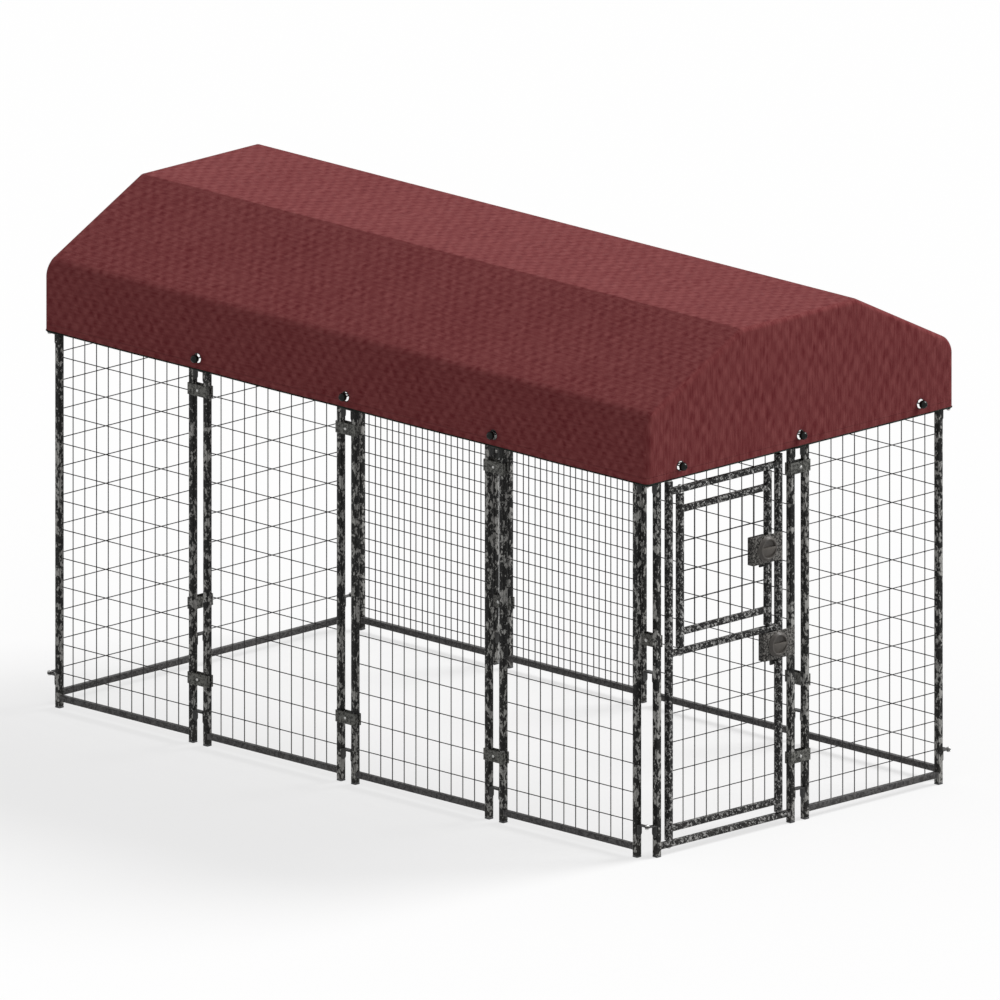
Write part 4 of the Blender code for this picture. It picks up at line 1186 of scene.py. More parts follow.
@dataclass
class TubeFrame:
    """Square tubes with rounded corners, welded into a frame in the plane Y = 0."""

    finishes: Finishes
    paint: bpy.types.Material
    rail_paint: bpy.types.Material
    corner: float = 0.0022
    foot_height: float = 0.0058
    foot_gap: float = 0.0008
    foot_round: float = 0.0016
    plug_round: float = 0.001
    opening: float = 0.030
    bead: float = 0.0012

    def open_end(self, piece: Piece, towards: Point) -> None:
        """Hollows a tube's end.

        Args:
            piece: The tube.
            towards: The way that its end faces.
        """
        with editing(piece):
            pick_faces(piece, lambda middle, normal: normal.dot(Vector(towards)) > FACING)
            bpy.ops.mesh.inset(thickness=PLAN.wall)
            extrude(Vector(towards) * -self.opening)

    def post(self, x: float, low: float, high: float) -> Piece:
        """An upright tube, open at both ends."""
        half = PLAN.post / 2
        shaft = bar((x - half, -half, low), (x + half, half, high), self.corner, steps=3, along=Axis.Z)
        self.open_end(shaft, (0, 0, 1))
        self.open_end(shaft, (0, 0, -1))
        return painted(shaft, self.paint)

    def capped_post(self, x: float, high: float) -> list[Piece]:
        """An upright tube that stands on a plastic cap."""
        half = PLAN.post / 2
        foot = bar((x - half, -half, 0.0), (x + half, half, self.foot_height), self.foot_round, 3)
        inner = half - PLAN.wall - PLAN.fit
        low, top = self.foot_height / 2, 3 * self.foot_height
        plug = bar((x - inner, -inner, low), (x + inner, inner, top), self.plug_round)
        shaft = self.post(x, self.foot_height + self.foot_gap, high)
        return [shaft, painted(foot, self.finishes.foot), painted(plug, self.finishes.foot)]

    def rail(self, left: float, right: float, z: float) -> list[Piece]:
        """A level tube between two uprights' faces, with a weld bead round each end."""
        half = PLAN.rail / 2
        level = bar((left, -half, z - half), (right, half, z + half), self.corner, steps=2, along=Axis.X)
        ring = half - self.corner / 3
        turns = ((-ring, -ring), (ring, -ring), (ring, ring), (-ring, ring))
        bead = tube([Vector((left, y, z + rise)) for y, rise in turns], self.bead, 6, is_closed=True)
        painted(bead, self.finishes.weld)
        other = copied(bead, "bead", shift(right - left, 0, 0))
        return [painted(level, self.rail_paint), bead, other]


@dataclass
class WireMesh:
    """Round wires in two layers, welded where they cross and where they meet their frame."""

    finishes: Finishes
    radius: float = 0.0015
    sides: int = 8
    bead: float = 0.0031
    bead_length: float = 0.0028
    nugget: float = 1.45

    def wire(self, start: Point, end: Point) -> Piece:
        """A wire with a weld bead at each end."""
        towards = (Vector(end) - Vector(start)).normalized() * self.bead_length
        pieces = [painted(rod(start, end, self.radius, self.sides), self.finishes.wire)]
        for foot, way in ((Vector(start), towards), (Vector(end), -towards)):
            bead = cone(foot, foot + way, (self.bead, self.radius), self.sides)
            pieces.append(painted(bead, self.finishes.weld))
        return joined("wire", pieces)

    def build(
        self, left: float, right: float, low: float, high: float, columns: int, rows: Sequence[float]
    ) -> Piece:
        """Builds the wires between a frame's inner faces.

        Args:
            left: The left upright's inner face.
            right: The right upright's inner face.
            low: The lower rail's upper face.
            high: The upper rail's lower face.
            columns: How many upright wires there are, evenly spaced.
            rows: The level wires' heights, evenly spaced.

        Returns:
            All the wires as one piece.
        """
        cell = (right - left) / (columns + 1)
        pitch = rows[1] - rows[0] if len(rows) > 1 else 0.0
        off = self.radius + PLAN.fit / 2
        x = left + cell
        upright = repeated(self.wire((x, -off, low), (x, -off, high)), columns, (cell, 0, 0))
        level = repeated(self.wire((left, off, rows[0]), (right, off, rows[0])), len(rows), (0, 0, pitch))
        ball = {"subdivisions": 1, "radius": self.nugget * self.radius, "location": (x, 0, rows[0])}
        nugget = painted(primitive(bpy.ops.mesh.primitive_ico_sphere_add, **ball), self.finishes.wire)
        repeated(nugget, columns, (cell, 0, 0))
        repeated(nugget, len(rows), (0, 0, pitch))
        return joined("wires", [upright, level, nugget])


@dataclass
class EdgeTabs:
    """Bent tabs on a post's outer edge, each with a hole for a corner bolt."""

    finishes: Finishes
    thick: float = PLAN.tab
    width: float = 0.018
    leg: float = 0.033
    reach: float = 0.0372
    hole: float = 0.0033
    tip: float = 0.0085
    bend: float = 0.0016
    edge: float = 0.0003

    def tab(self) -> Piece:
        """One tab from a post's face at X = 0 towards +X, its plate's underside at Z = 0."""
        half = self.width / 2
        piece = bar((0, -half, self.thick - self.leg), (self.thick, half, self.thick))
        with editing(piece):
            split((0, 0, 0), (0, 0, 1))
            pick_faces(piece, lambda middle, normal: normal.x > FACING and middle.z > 0)
            extrude((self.reach - self.thick, 0, 0))
            pick_edges(piece, self.is_bend)
            bpy.ops.mesh.bevel(offset=self.bend, segments=3, affect="EDGES")
            pick_edges(piece, self.is_corner)
            bpy.ops.mesh.bevel(offset=self.tip, segments=5, affect="EDGES")
        x = PLAN.corner_reach
        cut_away(piece, rod((x, 0, -self.thick), (x, 0, 2 * self.thick), self.hole, sides=20))
        bevel_sharp(piece, self.edge, 1, 50)
        return painted(piece, self.finishes.tab)

    def is_bend(self, start: Vector, end: Vector) -> bool:
        """Whether an edge is the inner or the outer line of the tab's bend."""
        is_across = abs(start.y - end.y) > self.width / 2
        is_outer = is_same(start.x, 0) and is_same(start.z, self.thick)
        is_inner = is_same(start.x, self.thick) and is_same(start.z, 0)
        return is_across and (is_outer or is_inner)

    def is_corner(self, start: Vector, end: Vector) -> bool:
        """Whether an edge is one of the plate's tip corners or the leg's foot corners."""
        is_tip = is_same(start.x, end.x, self.reach)
        is_foot = is_same(start.z, end.z, self.thick - self.leg)
        return is_same(start.y, end.y) and (is_tip or is_foot)

    def build(self) -> Piece:
        """All four tabs of a panel. The start's lie one thickness lower than the end's."""
        master = self.tab()
        lift = self.thick + PLAN.fit
        pieces = []
        for z in PLAN.tab_heights.values():
            pieces.append(copied(master, "tab", shift(z=z) @ HALF_TURN))
            pieces.append(copied(master, "tab", shift(PLAN.width, 0, z + lift)))
        discard(master)
        return joined("tabs", pieces)


@dataclass
class Panels:
    """The plain wire panels of all four sides, and the frame that the door hangs in."""

    finishes: Finishes
    bottom_rail: float = 0.0305
    top_rail: float = 1.279
    lintel: float = 1.140
    first_row: float = 0.1056
    row_pitch: float = 0.0866
    rows: int = 14

    def frame_mesh(self, rails: Iterable[float], rail_paint: bpy.types.Material) -> Piece:
        """A panel's posts, rails, foot caps and welds."""
        tubes = TubeFrame(self.finishes, self.finishes.post, rail_paint)
        left = PLAN.post
        right = PLAN.width - PLAN.post
        pieces = tubes.capped_post(PLAN.post / 2, PLAN.height)
        pieces += tubes.capped_post(PLAN.width - PLAN.post / 2, PLAN.height)
        for z in rails:
            pieces += tubes.rail(left, right, z)
        return joined("frame", pieces)

    def wires(self, low: float, rows: Sequence[float]) -> Piece:
        """A panel's wires above the rail whose middle is this high."""
        half = PLAN.rail / 2
        right = PLAN.width - PLAN.post
        mesh = WireMesh(self.finishes)
        return mesh.build(PLAN.post, right, low + half, self.top_rail - half, PLAN.columns, rows)

    def build(self) -> None:
        """Builds one of each kind and copies it to every panel's place."""
        rows = [self.first_row + self.row_pitch * row for row in range(self.rows)]
        tabs = EdgeTabs(self.finishes).build()
        plain = {
            "tubes": self.frame_mesh((self.bottom_rail, self.top_rail), self.finishes.rail),
            "wires": self.wires(self.bottom_rail, rows),
            "tabs": tabs,
        }
        doorway = {
            "tubes": self.frame_mesh((self.bottom_rail, self.lintel, self.top_rail), self.finishes.gate),
            "wires": self.wires(self.lintel, rows[-1:]),
            "tabs": tabs,
        }
        for side in Side:
            count = PLAN.count(side)
            for index in range(count):
                spot = PLAN.panel_spot(side, index)
                if side is Side.FRONT and index == 0:
                    nodes = {"tubes": "door_frame", "wires": "door_frame_mesh"}
                    self.place("door_frame", doorway, spot, nodes)
                    continue
                name = f"{side.value[0]}_panel_{side.number(index, count)}"
                self.place(name, plain, spot, {"tubes": name})
        discard(*{*plain.values(), *doorway.values()})

    def place(self, name: str, masters: dict[str, Piece], spot: Matrix, nodes: dict[str, str]) -> None:
        """Copies a panel's pieces to its place.

        Args:
            name: The panel's name.
            masters: Its pieces by kind.
            spot: Where it stands.
            nodes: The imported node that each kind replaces.
        """
        for kind, master in masters.items():
            piece = copied(master, f"{name}_{kind}", spot)
            dress(piece, Body.RUN, Slot.FRAME, *([nodes[kind]] if kind in nodes else []))


# Fasteners


@dataclass
class Fasteners:
    """Clamps over the straight joints and bolts through the tabs at the corners."""

    finishes: Finishes
    plate: float = 0.0025
    clamp_height: float = 0.035
    side_gap: float = 0.0004
    open_half: float = 0.00345
    lower_clamp: float = 0.196
    upper_clamp_drop: float = 0.222
    shank: float = 0.003
    head: float = 0.0058
    clamp_head: float = 0.0046
    head_height: float = 0.0036
    nut_height: float = 0.0045
    washer: float = 0.0008
    dome_washer: float = 1.15
    bolt_washer: float = 1.25
    chamfer: float = 0.0006
    bolt_end: float = 0.0006
    corner: float = 0.0022
    edge: float = 0.0006
    face_margin: float = 0.0042
    face_slope: float = 0.0012
    face_depth: float = 0.0002
    sunk: float = 0.0005

    @property
    def grip(self) -> float:
        """The way through two tabs."""
        return 2 * PLAN.tab + PLAN.fit

    def half_clamp(self) -> Piece:
        """The outer half of a clamp, pressed round two posts, with a shallow panel in its face."""
        inner = PLAN.gap / 2 + PLAN.post + self.side_gap
        outer = inner + self.plate
        seat = PLAN.post / 2 + PLAN.fit
        face = seat + self.plate
        high = self.clamp_height / 2
        shell = bar((-outer, -face, -high), (outer, -self.open_half, high))

        def is_outer_corner(start: Vector, end: Vector) -> bool:
            """Whether an edge is an upright corner of the face."""
            return is_same(start.y, end.y, -face) and is_same(start.x, end.x)

        round_edges(shell, self.corner, 3, is_outer_corner)
        cut_away(shell, bar((-inner, -seat, -2 * high), (inner, seat, 2 * high)))
        with editing(shell):
            pick_faces(shell, lambda middle, normal: normal.y < -FACING and middle.y < -seat)
            bpy.ops.mesh.inset(thickness=self.face_margin)
            bpy.ops.mesh.inset(thickness=self.face_slope)
            bpy.ops.transform.translate(value=(0, self.face_depth, 0))
        bevel_sharp(shell, self.edge, 2, 50)
        return painted(shell, self.finishes.clamp)

    def dome(self, radius: float, height: float) -> Piece:
        """A bolt's domed head on Z = 0, on a thin washer."""
        washer = upright(0, self.washer, self.dome_washer * radius, sides=24, rounding=0.0003)
        dome = primitive(bpy.ops.mesh.primitive_uv_sphere_add, segments=24, ring_count=12, radius=radius)
        with editing(dome):
            split((0, 0, 0), (0, 0, -1), use_fill=True, clear_outer=True)
            bpy.ops.mesh.select_all(action="SELECT")
            resize((1, 1, (height - self.washer) / radius))
            bpy.ops.transform.translate(value=(0, 0, self.washer))
        return joined("dome", [painted(dome, self.finishes.steel), painted(washer, self.finishes.clamp)])

    def nut(self, height: float) -> Piece:
        """A hexagon nut under Z = 0 with chamfered corners and the bolt's end showing."""
        body = upright(-height, 0, self.head, sides=6, rounding=self.chamfer)
        end = upright(-height - self.bolt_end, 0, self.shank, sides=16, rounding=0.0004)
        return joined("nut", [painted(body, self.finishes.steel), painted(end, self.finishes.steel)])

    def clamp(self) -> Piece:
        """A whole clamp, drawn together by a bolt between the posts."""
        face = PLAN.post / 2 + PLAN.fit + self.plate
        front = self.half_clamp()
        back = copied(front, "half", HALF_TURN)
        depth = face - self.sunk
        head = moved(self.dome(self.clamp_head, self.head_height), shift(y=-depth) @ LIE_DOWN)
        nut = moved(self.nut(self.nut_height), shift(y=depth) @ LIE_DOWN)
        shank = painted(rod((0, -depth, 0), (0, depth, 0), self.shank, sides=16), self.finishes.steel)
        return joined("clamp", [front, back, head, nut, shank])

    def corner_bolt(self) -> Piece:
        """A bolt down through two tabs, their upper face at Z = 0."""
        under = -self.grip - PLAN.fit
        body = upright(PLAN.fit, PLAN.fit + self.head_height, self.head, sides=6, rounding=self.chamfer)
        washer = upright(0.0001, self.washer, self.bolt_washer * self.head, sides=24, rounding=0.0002)
        shank = upright(under, PLAN.fit, self.shank, sides=16)
        nut = moved(self.nut(self.nut_height), shift(z=under))
        pieces = [painted(piece, self.finishes.steel) for piece in (body, washer, shank)]
        return joined("bolt", [*pieces, nut])

    def build(self) -> None:
        """Places the clamps and the bolts."""
        clamp = self.clamp()
        for side in Side:
            count = PLAN.count(side)
            for index in range(count - 1):
                number = side.number(index, count - 1)
                heights = {"lower": self.lower_clamp, "upper": PLAN.height - self.upper_clamp_drop}
                for level, z in heights.items():
                    node = f"clamp_{side.value[0]}_{number}_{level}"
                    piece = copied(clamp, f"{node}_plates", PLAN.joint_spot(side, index, z))
                    dress(piece, Body.RUN, Slot.PLATE, node)
        bolt = self.corner_bolt()
        for end, x in (("front", PLAN.end_x), ("back", -PLAN.end_x)):
            for hand, y in (("left", -PLAN.side_y), ("right", PLAN.side_y)):
                for level, z in PLAN.tab_heights.items():
                    node = f"corner_bolt_{end}_{hand}_{level}"
                    piece = copied(bolt, f"{node}_steel", shift(x, y, z + self.grip))
                    dress(piece, Body.RUN, Slot.STEEL, node)
        discard(clamp, bolt)


# Door, hatch and latches


@dataclass(frozen=True)
class Leaf:
    """A door leaf in its own frame, from its hinge axis at X = 0.

    Attributes:
        name: Its name.
        body: The body that it is.
        spot: Where its axis stands.
        span: The way between its stiles' middles.
        foot: Its stiles' lower ends.
        top: Their upper ends.
        rails: Its rails' heights.
        wire: Its wires' radius.
        columns: How many upright wires it has.
        rows: Its level wires' heights, between its two lowest rails.
        nodes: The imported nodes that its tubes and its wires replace.
        pins: Each pin's name, its rail's height, which way the leaf lies, and the gap to it.
    """

    name: str
    body: Body
    spot: Matrix
    span: float
    foot: float
    top: float
    rails: tuple[float, ...]
    wire: float
    columns: int
    rows: tuple[float, ...]
    nodes: tuple[tuple[str, ...], tuple[str, ...]]
    pins: tuple[tuple[str, float, int, float], ...]

    @property
    def cell(self) -> float:
        """The pitch of its upright wires."""
        return (self.span - PLAN.post) / (self.columns + 1)


HINGE_X = 0.0581
HATCH_HINGE_X = 0.0462
DOOR_SPOT = Side.FRONT.turn @ shift(HINGE_X - PLAN.half_end, -PLAN.end_x, 0)

DOOR = Leaf(
    name="main_door",
    body=Body.DOOR,
    spot=DOOR_SPOT,
    span=0.4515,
    foot=0.0421,
    top=1.123,
    rails=(0.0761, 0.6025, 1.092),
    wire=0.0015,
    columns=8,
    rows=(0.1606, 0.2472, 0.3338, 0.4204, 0.5070),
    nodes=(("main_door",), ("main_door_mesh",)),
    pins=(("main_door_pin_lower", 0.0305, 1, 0.0026), ("main_door_pin_upper", 1.140, -1, 0.008)),
)

HATCH = Leaf(
    name="hatch_door",
    body=Body.HATCH,
    spot=DOOR_SPOT @ shift(HATCH_HINGE_X, 0, 0),
    span=0.3613,
    foot=0.6141,
    top=1.0804,
    rails=(0.6610, 1.0310),
    wire=0.002,
    columns=6,
    rows=(0.7515, 0.8415, 0.9315),
    nodes=(("hatch_door",), ()),
    pins=(("hatch_pin_lower", 0.6025, 1, 0.0026), ("hatch_pin_upper", 1.092, -1, 0.0026)),
)


@dataclass
class Leaves:
    """The main door and the hatch in its upper half, with their hinge pins."""

    finishes: Finishes
    shank: float = 0.004
    flange: float = 0.009
    nut: float = 0.0065
    nut_height: float = 0.0032
    plug: float = 0.0077
    plug_length: float = 0.030
    chamfer: float = 0.0005
    end: float = 0.001

    def build(self) -> None:
        """Builds both leaves."""
        for leaf in (DOOR, HATCH):
            self.tubes(leaf)
            self.wires(leaf)
            for name, rail, way, gap in leaf.pins:
                self.pin(leaf, name, rail, way, gap)

    def tubes(self, leaf: Leaf) -> None:
        """Builds a leaf's stiles and rails."""
        maker = TubeFrame(self.finishes, self.finishes.gate, self.finishes.gate, opening=0.012)
        half = PLAN.post / 2
        pieces = [maker.post(x, leaf.foot, leaf.top) for x in (0.0, leaf.span)]
        for z in leaf.rails:
            pieces += maker.rail(half, leaf.span - half, z)
        piece = moved(joined(f"{leaf.name}_tubes", pieces), leaf.spot)
        dress(piece, leaf.body, Slot.DOOR, *leaf.nodes[0])

    def wires(self, leaf: Leaf) -> None:
        """Builds a leaf's wires."""
        low, high = (leaf.rails[0] + PLAN.rail / 2, leaf.rails[1] - PLAN.rail / 2)
        left, right = (PLAN.post / 2, leaf.span - PLAN.post / 2)
        mesh = WireMesh(self.finishes, radius=leaf.wire, bead=leaf.wire * 2)
        piece = moved(mesh.build(left, right, low, high, leaf.columns, leaf.rows), leaf.spot)
        piece.name = piece.data.name = f"{leaf.name}_wires"
        dress(piece, leaf.body, Slot.DOOR, *leaf.nodes[1])

    def pin(self, leaf: Leaf, name: str, rail: float, way: int, gap: float) -> None:
        """Builds a hinge pin: a nut, a shank, a flange that carries the leaf and a plug in its tube."""
        top = gap - PLAN.fit
        under = -PLAN.rail - PLAN.fit
        foot = under - self.nut_height
        pieces = [
            upright(foot, under, self.nut, sides=6, rounding=self.chamfer),
            upright(foot - self.end, PLAN.fit, self.shank, sides=20, rounding=self.chamfer),
            upright(PLAN.fit, top, self.flange, sides=28, rounding=0.0004),
            upright(top, top + self.plug_length, self.plug, sides=24, rounding=0.001, steps=2),
        ]
        piece = joined(f"{name}_steel", [painted(part, self.finishes.steel) for part in pieces])
        turn = Matrix.Rotation(math.pi if way < 0 else 0.0, 4, "X")
        moved(piece, leaf.spot @ shift(z=rail + way * PLAN.rail / 2) @ turn)
        dress(piece, leaf.body, Slot.STEEL, name)


@dataclass(frozen=True)
class LatchPlace:
    """Where a latch sits on its leaf.

    Attributes:
        name: The latch's name.
        leaf: The leaf that carries it.
        turning: The body of its knob and cam.
        height: Its middle's height.
        stop: The way from the stile's middle to the middle of what it closes on.
    """

    name: str
    leaf: Leaf
    turning: Body
    height: float
    stop: float


LATCHES = (
    LatchPlace("main_latch", DOOR, Body.DOOR_LATCH, height=0.5520, stop=PLAN.post + 0.0315),
    LatchPlace("hatch_latch", HATCH, Body.HATCH_LATCH, height=0.8485, stop=PLAN.post + 0.0250),
)


@dataclass
class Latches:
    """Pressed housings, round knobs with a grip bar, and the cams behind them."""

    finishes: Finishes
    height: float = 0.081
    plate: float = 0.0025
    flange: float = 0.002
    past_wire: float = 0.0150
    lip: float = 0.003
    short_of_edge: float = 0.0035
    spindle: float = 0.004
    knob_radius: float = 0.0375
    front_radius: float = 0.0310
    skirt: float = 0.0025
    ledge: float = 0.0022
    depth: float = 0.0105
    rim: float = 0.004
    floor: float = 0.0035
    grip_edge: float = 0.005
    grip_ridge: float = 0.14
    cam_thick: float = 0.004
    cam_width: float = 0.016
    cam_lap: float = 0.011
    plate_corner: float = 0.004
    plate_edge: float = 0.0010
    box_inset: float = 0.0004
    box_overlap: float = 0.0005
    box_corner: float = 0.0015
    rivet: float = 0.0028
    rivet_height: float = 0.0009
    rivet_depth: float = 0.001
    rivet_in: float = 0.010
    rivet_in_right: float = 0.008
    floor_taper: float = 0.945
    cup_edge: float = 0.0009
    grip_sunk: float = 0.0005
    grip_drop: float = 0.0004
    grip_into_rim: float = 0.8
    grip_edge_round: float = 0.0007
    cam_top: float = 0.96
    cam_foot: float = 0.002
    cam_edge: float = 0.0005
    into_knob: float = 0.002
    nut: float = 0.0056
    nut_height: float = 0.0025

    @property
    def spindle_x(self) -> float:
        """Where the spindle passes the stile, from the stile's middle."""
        return -PLAN.post / 2 - self.spindle - PLAN.running_gap

    @property
    def knob_back(self) -> float:
        """The knob's back in the leaf's frame."""
        return -PLAN.post / 2 - 2 * PLAN.fit - self.plate

    def housing(self, latch: LatchPlace) -> Piece:
        """A front plate with rounded edges, flanges behind it and a boss round the spindle."""
        left = -PLAN.post / 2 - latch.leaf.cell - self.past_wire
        right = latch.stop + PLAN.post / 2 - self.short_of_edge
        front = -PLAN.post / 2 - PLAN.fit - self.plate
        inside = front + self.plate
        back = PLAN.post / 2 - PLAN.fit
        end = -PLAN.post / 2 - PLAN.running_gap
        half = self.height / 2
        foot = -half - self.lip
        face = bar((left, front, foot), (right, inside, half))
        round_edges(face, self.plate_corner, 4, lambda start, stop: abs(start.y - stop.y) > self.plate / 2)
        round_edges(face, self.plate_edge, 3, lambda start, stop: max(start.y, stop.y) < front + ON_PLANE)
        low = (left + self.box_inset, inside - self.box_overlap, foot + self.box_inset)
        box = bar(low, (end, back, half - self.box_inset), self.box_corner, steps=2, along=Axis.Y)
        low = (left + self.flange, front - FAR, foot + self.flange)
        cut_away(box, bar(low, (end + FAR, back + FAR, half - self.flange)))
        pieces = [face, box]
        for x in (left + self.rivet_in, right - self.rivet_in_right):
            for z in (half - self.rivet_in, foot + self.rivet_in):
                ends = ((x, front - self.rivet_height, z), (x, front + self.rivet_depth, z))
                pieces.append(rod(*ends, self.rivet, sides=16, rounding=0.0007, steps=2))
        pieces = [painted(piece, self.finishes.plate) for piece in pieces]
        return joined(f"{latch.name}_housing_plate", pieces)

    def knob(self) -> list[Piece]:
        """A round cup and the grip that rises to an edge across it, from Y = 0 towards -Y."""
        cup = upright(0, self.skirt, self.knob_radius, sides=64)
        with editing(cup):
            pick_faces(cup, lambda middle, normal: normal.z > FACING)
            bpy.ops.mesh.inset(thickness=self.ledge)
            extrude((0, 0, self.depth - self.skirt))
            share = self.front_radius / (self.knob_radius - self.ledge)
            resize((share, share, 1))
            bpy.ops.mesh.inset(thickness=self.rim)
            extrude((0, 0, self.floor - self.depth))
            resize((self.floor_taper, self.floor_taper, 1))
        bevel_sharp(cup, self.cup_edge, 3, 40)
        reach = self.front_radius - self.rim / 2
        low = self.floor - self.grip_sunk
        grip = bar((-reach, -reach, low), (reach, self.grip_edge, self.depth - self.grip_drop))
        with editing(grip):
            pick_faces(grip, lambda middle, normal: normal.z > FACING)
            resize((1, self.grip_ridge, 1), (0, self.grip_edge, 0))
        bowl = upright(0, 2 * self.depth, self.front_radius - self.grip_into_rim * self.rim, sides=64)
        apply_modifier(grip, "BOOLEAN", operation="INTERSECT", solver="EXACT", object=bowl)
        discard(bowl)
        bevel_sharp(grip, self.grip_edge_round, 3, 40)
        paints = ((cup, self.finishes.knob), (grip, self.finishes.grip))
        return [moved(painted(piece, paint), LIE_DOWN) for piece, paint in paints]

    def cam(self, latch: LatchPlace) -> Piece:
        """A spindle with a rounded cam behind it that hangs down."""
        front = PLAN.post / 2 + PLAN.running_gap
        back = front + self.cam_thick
        reach = latch.stop - PLAN.post / 2 - self.spindle_x + self.cam_lap
        half = self.cam_width / 2
        blade = bar((-half, front, -reach), (half, back, half))
        for width, steps, way in ((half * self.cam_top, 6, 1), (self.cam_foot, 3, -1)):

            def is_corner(start: Vector, end: Vector) -> bool:
                """Whether an edge is one of the blade's corners at this end."""
                return start.z * way > 0 and not is_same(start.y, end.y)

            round_edges(blade, width, steps, is_corner)
        bevel_sharp(blade, self.cam_edge, 2, 50)
        start = (0, self.knob_back - self.into_knob, 0)
        stem = rod(start, (0, back, 0), self.spindle, sides=20, rounding=0.0004, steps=1)
        nut = rod((0, back, 0), (0, back + self.nut_height, 0), self.nut, sides=6, rounding=0.0005, steps=1)
        pieces = [painted(piece, self.finishes.tab) for piece in (blade, stem, nut)]
        return joined(f"{latch.name}_cam_steel", pieces)

    def build(self) -> None:
        """Builds both latches on their leaves."""
        for latch in LATCHES:
            stile = latch.leaf.spot @ shift(latch.leaf.span, 0, latch.height)
            axis = stile @ shift(self.spindle_x)
            housing = moved(self.housing(latch), stile)
            dress(housing, latch.leaf.body, Slot.PLATE, f"{latch.name}_housing")
            knob = moved(joined(f"{latch.name}_knob_cup", self.knob()), axis @ shift(y=self.knob_back))
            dress(knob, latch.turning, Slot.KNOB, f"{latch.name}_knob")
            dress(moved(self.cam(latch), axis), latch.turning, Slot.STEEL, f"{latch.name}_cam")


# Roof frame, cover and ball ties


@dataclass(frozen=True)
class RoofShape:
    """The cover's outer lines and the tubes that carry it.

    Attributes:
        cloth: The cloth's thickness.
        fit: The gap between the cloth and what it lies on.
        hem_drop: How far the hem lies under the panels' height.
        eave_rise: How far the eaves lie over it.
        roof_rise: How far the flat top lies over the eaves.
        flat_half: Half the flat top's width.
        eave_radius: The eaves' radius.
        corner: The radius of the upright corners and of the gables' edges.
        tube: The bows' and the ridge tubes' radius.
        eave_facet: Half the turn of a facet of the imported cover's eaves.
        corner_facet: Half the turn of a facet of its corners.
    """

    cloth: float = 0.0015
    fit: float = 0.0005
    hem_drop: float = 0.157
    eave_rise: float = 0.041
    roof_rise: float = 0.199
    flat_half: float = 0.237
    eave_radius: float = 0.060
    corner: float = 0.016
    tube: float = 0.0095
    eave_facet: float = math.radians(7.5)
    corner_facet: float = math.pi / 12

    @property
    def half_x(self) -> float:
        """The cover's reach along the run."""
        return PLAN.end_x + PLAN.post / 2 + self.fit + self.cloth

    @property
    def half_y(self) -> float:
        """The cover's reach across the run."""
        return PLAN.side_y + PLAN.post / 2 + self.fit + self.cloth

    @property
    def hem(self) -> float:
        """The hem's height."""
        return PLAN.height - self.hem_drop

    @property
    def eave(self) -> float:
        """The height where the slopes would meet the skirts."""
        return PLAN.height + self.eave_rise

    @property
    def top(self) -> float:
        """The flat top's height."""
        return self.eave + self.roof_rise

    @property
    def slope(self) -> float:
        """The slopes' angle."""
        return math.atan2(self.roof_rise, self.half_y - self.flat_half)

    @property
    def inset(self) -> float:
        """How far under the cover's outer face a tube's middle runs."""
        return self.cloth + self.fit + self.tube

    @property
    def ridge(self) -> tuple[float, float]:
        """The ridge tubes' distance from the middle, and their height."""
        return self.flat_half - self.inset * math.tan(self.slope / 2), self.top - self.inset

    @property
    def bow_inset(self) -> float:
        """How far inside the cover's outer face an end bow runs."""
        sag = self.eave_radius * (1 - math.cos(self.eave_facet))
        corner_sag = self.corner * (1 - math.cos(self.corner_facet))
        return sag + self.corner - (self.corner - self.inset - corner_sag) * math.sqrt(0.5)

    @property
    def slope_length(self) -> float:
        """The way up a slope."""
        return math.hypot(self.roof_rise, self.half_y - self.flat_half)

    @property
    def girth(self) -> float:
        """The way over the cover from hem to hem, along its outer lines."""
        return 2 * (self.eave - self.hem + self.slope_length + self.flat_half)


ROOF = RoofShape()


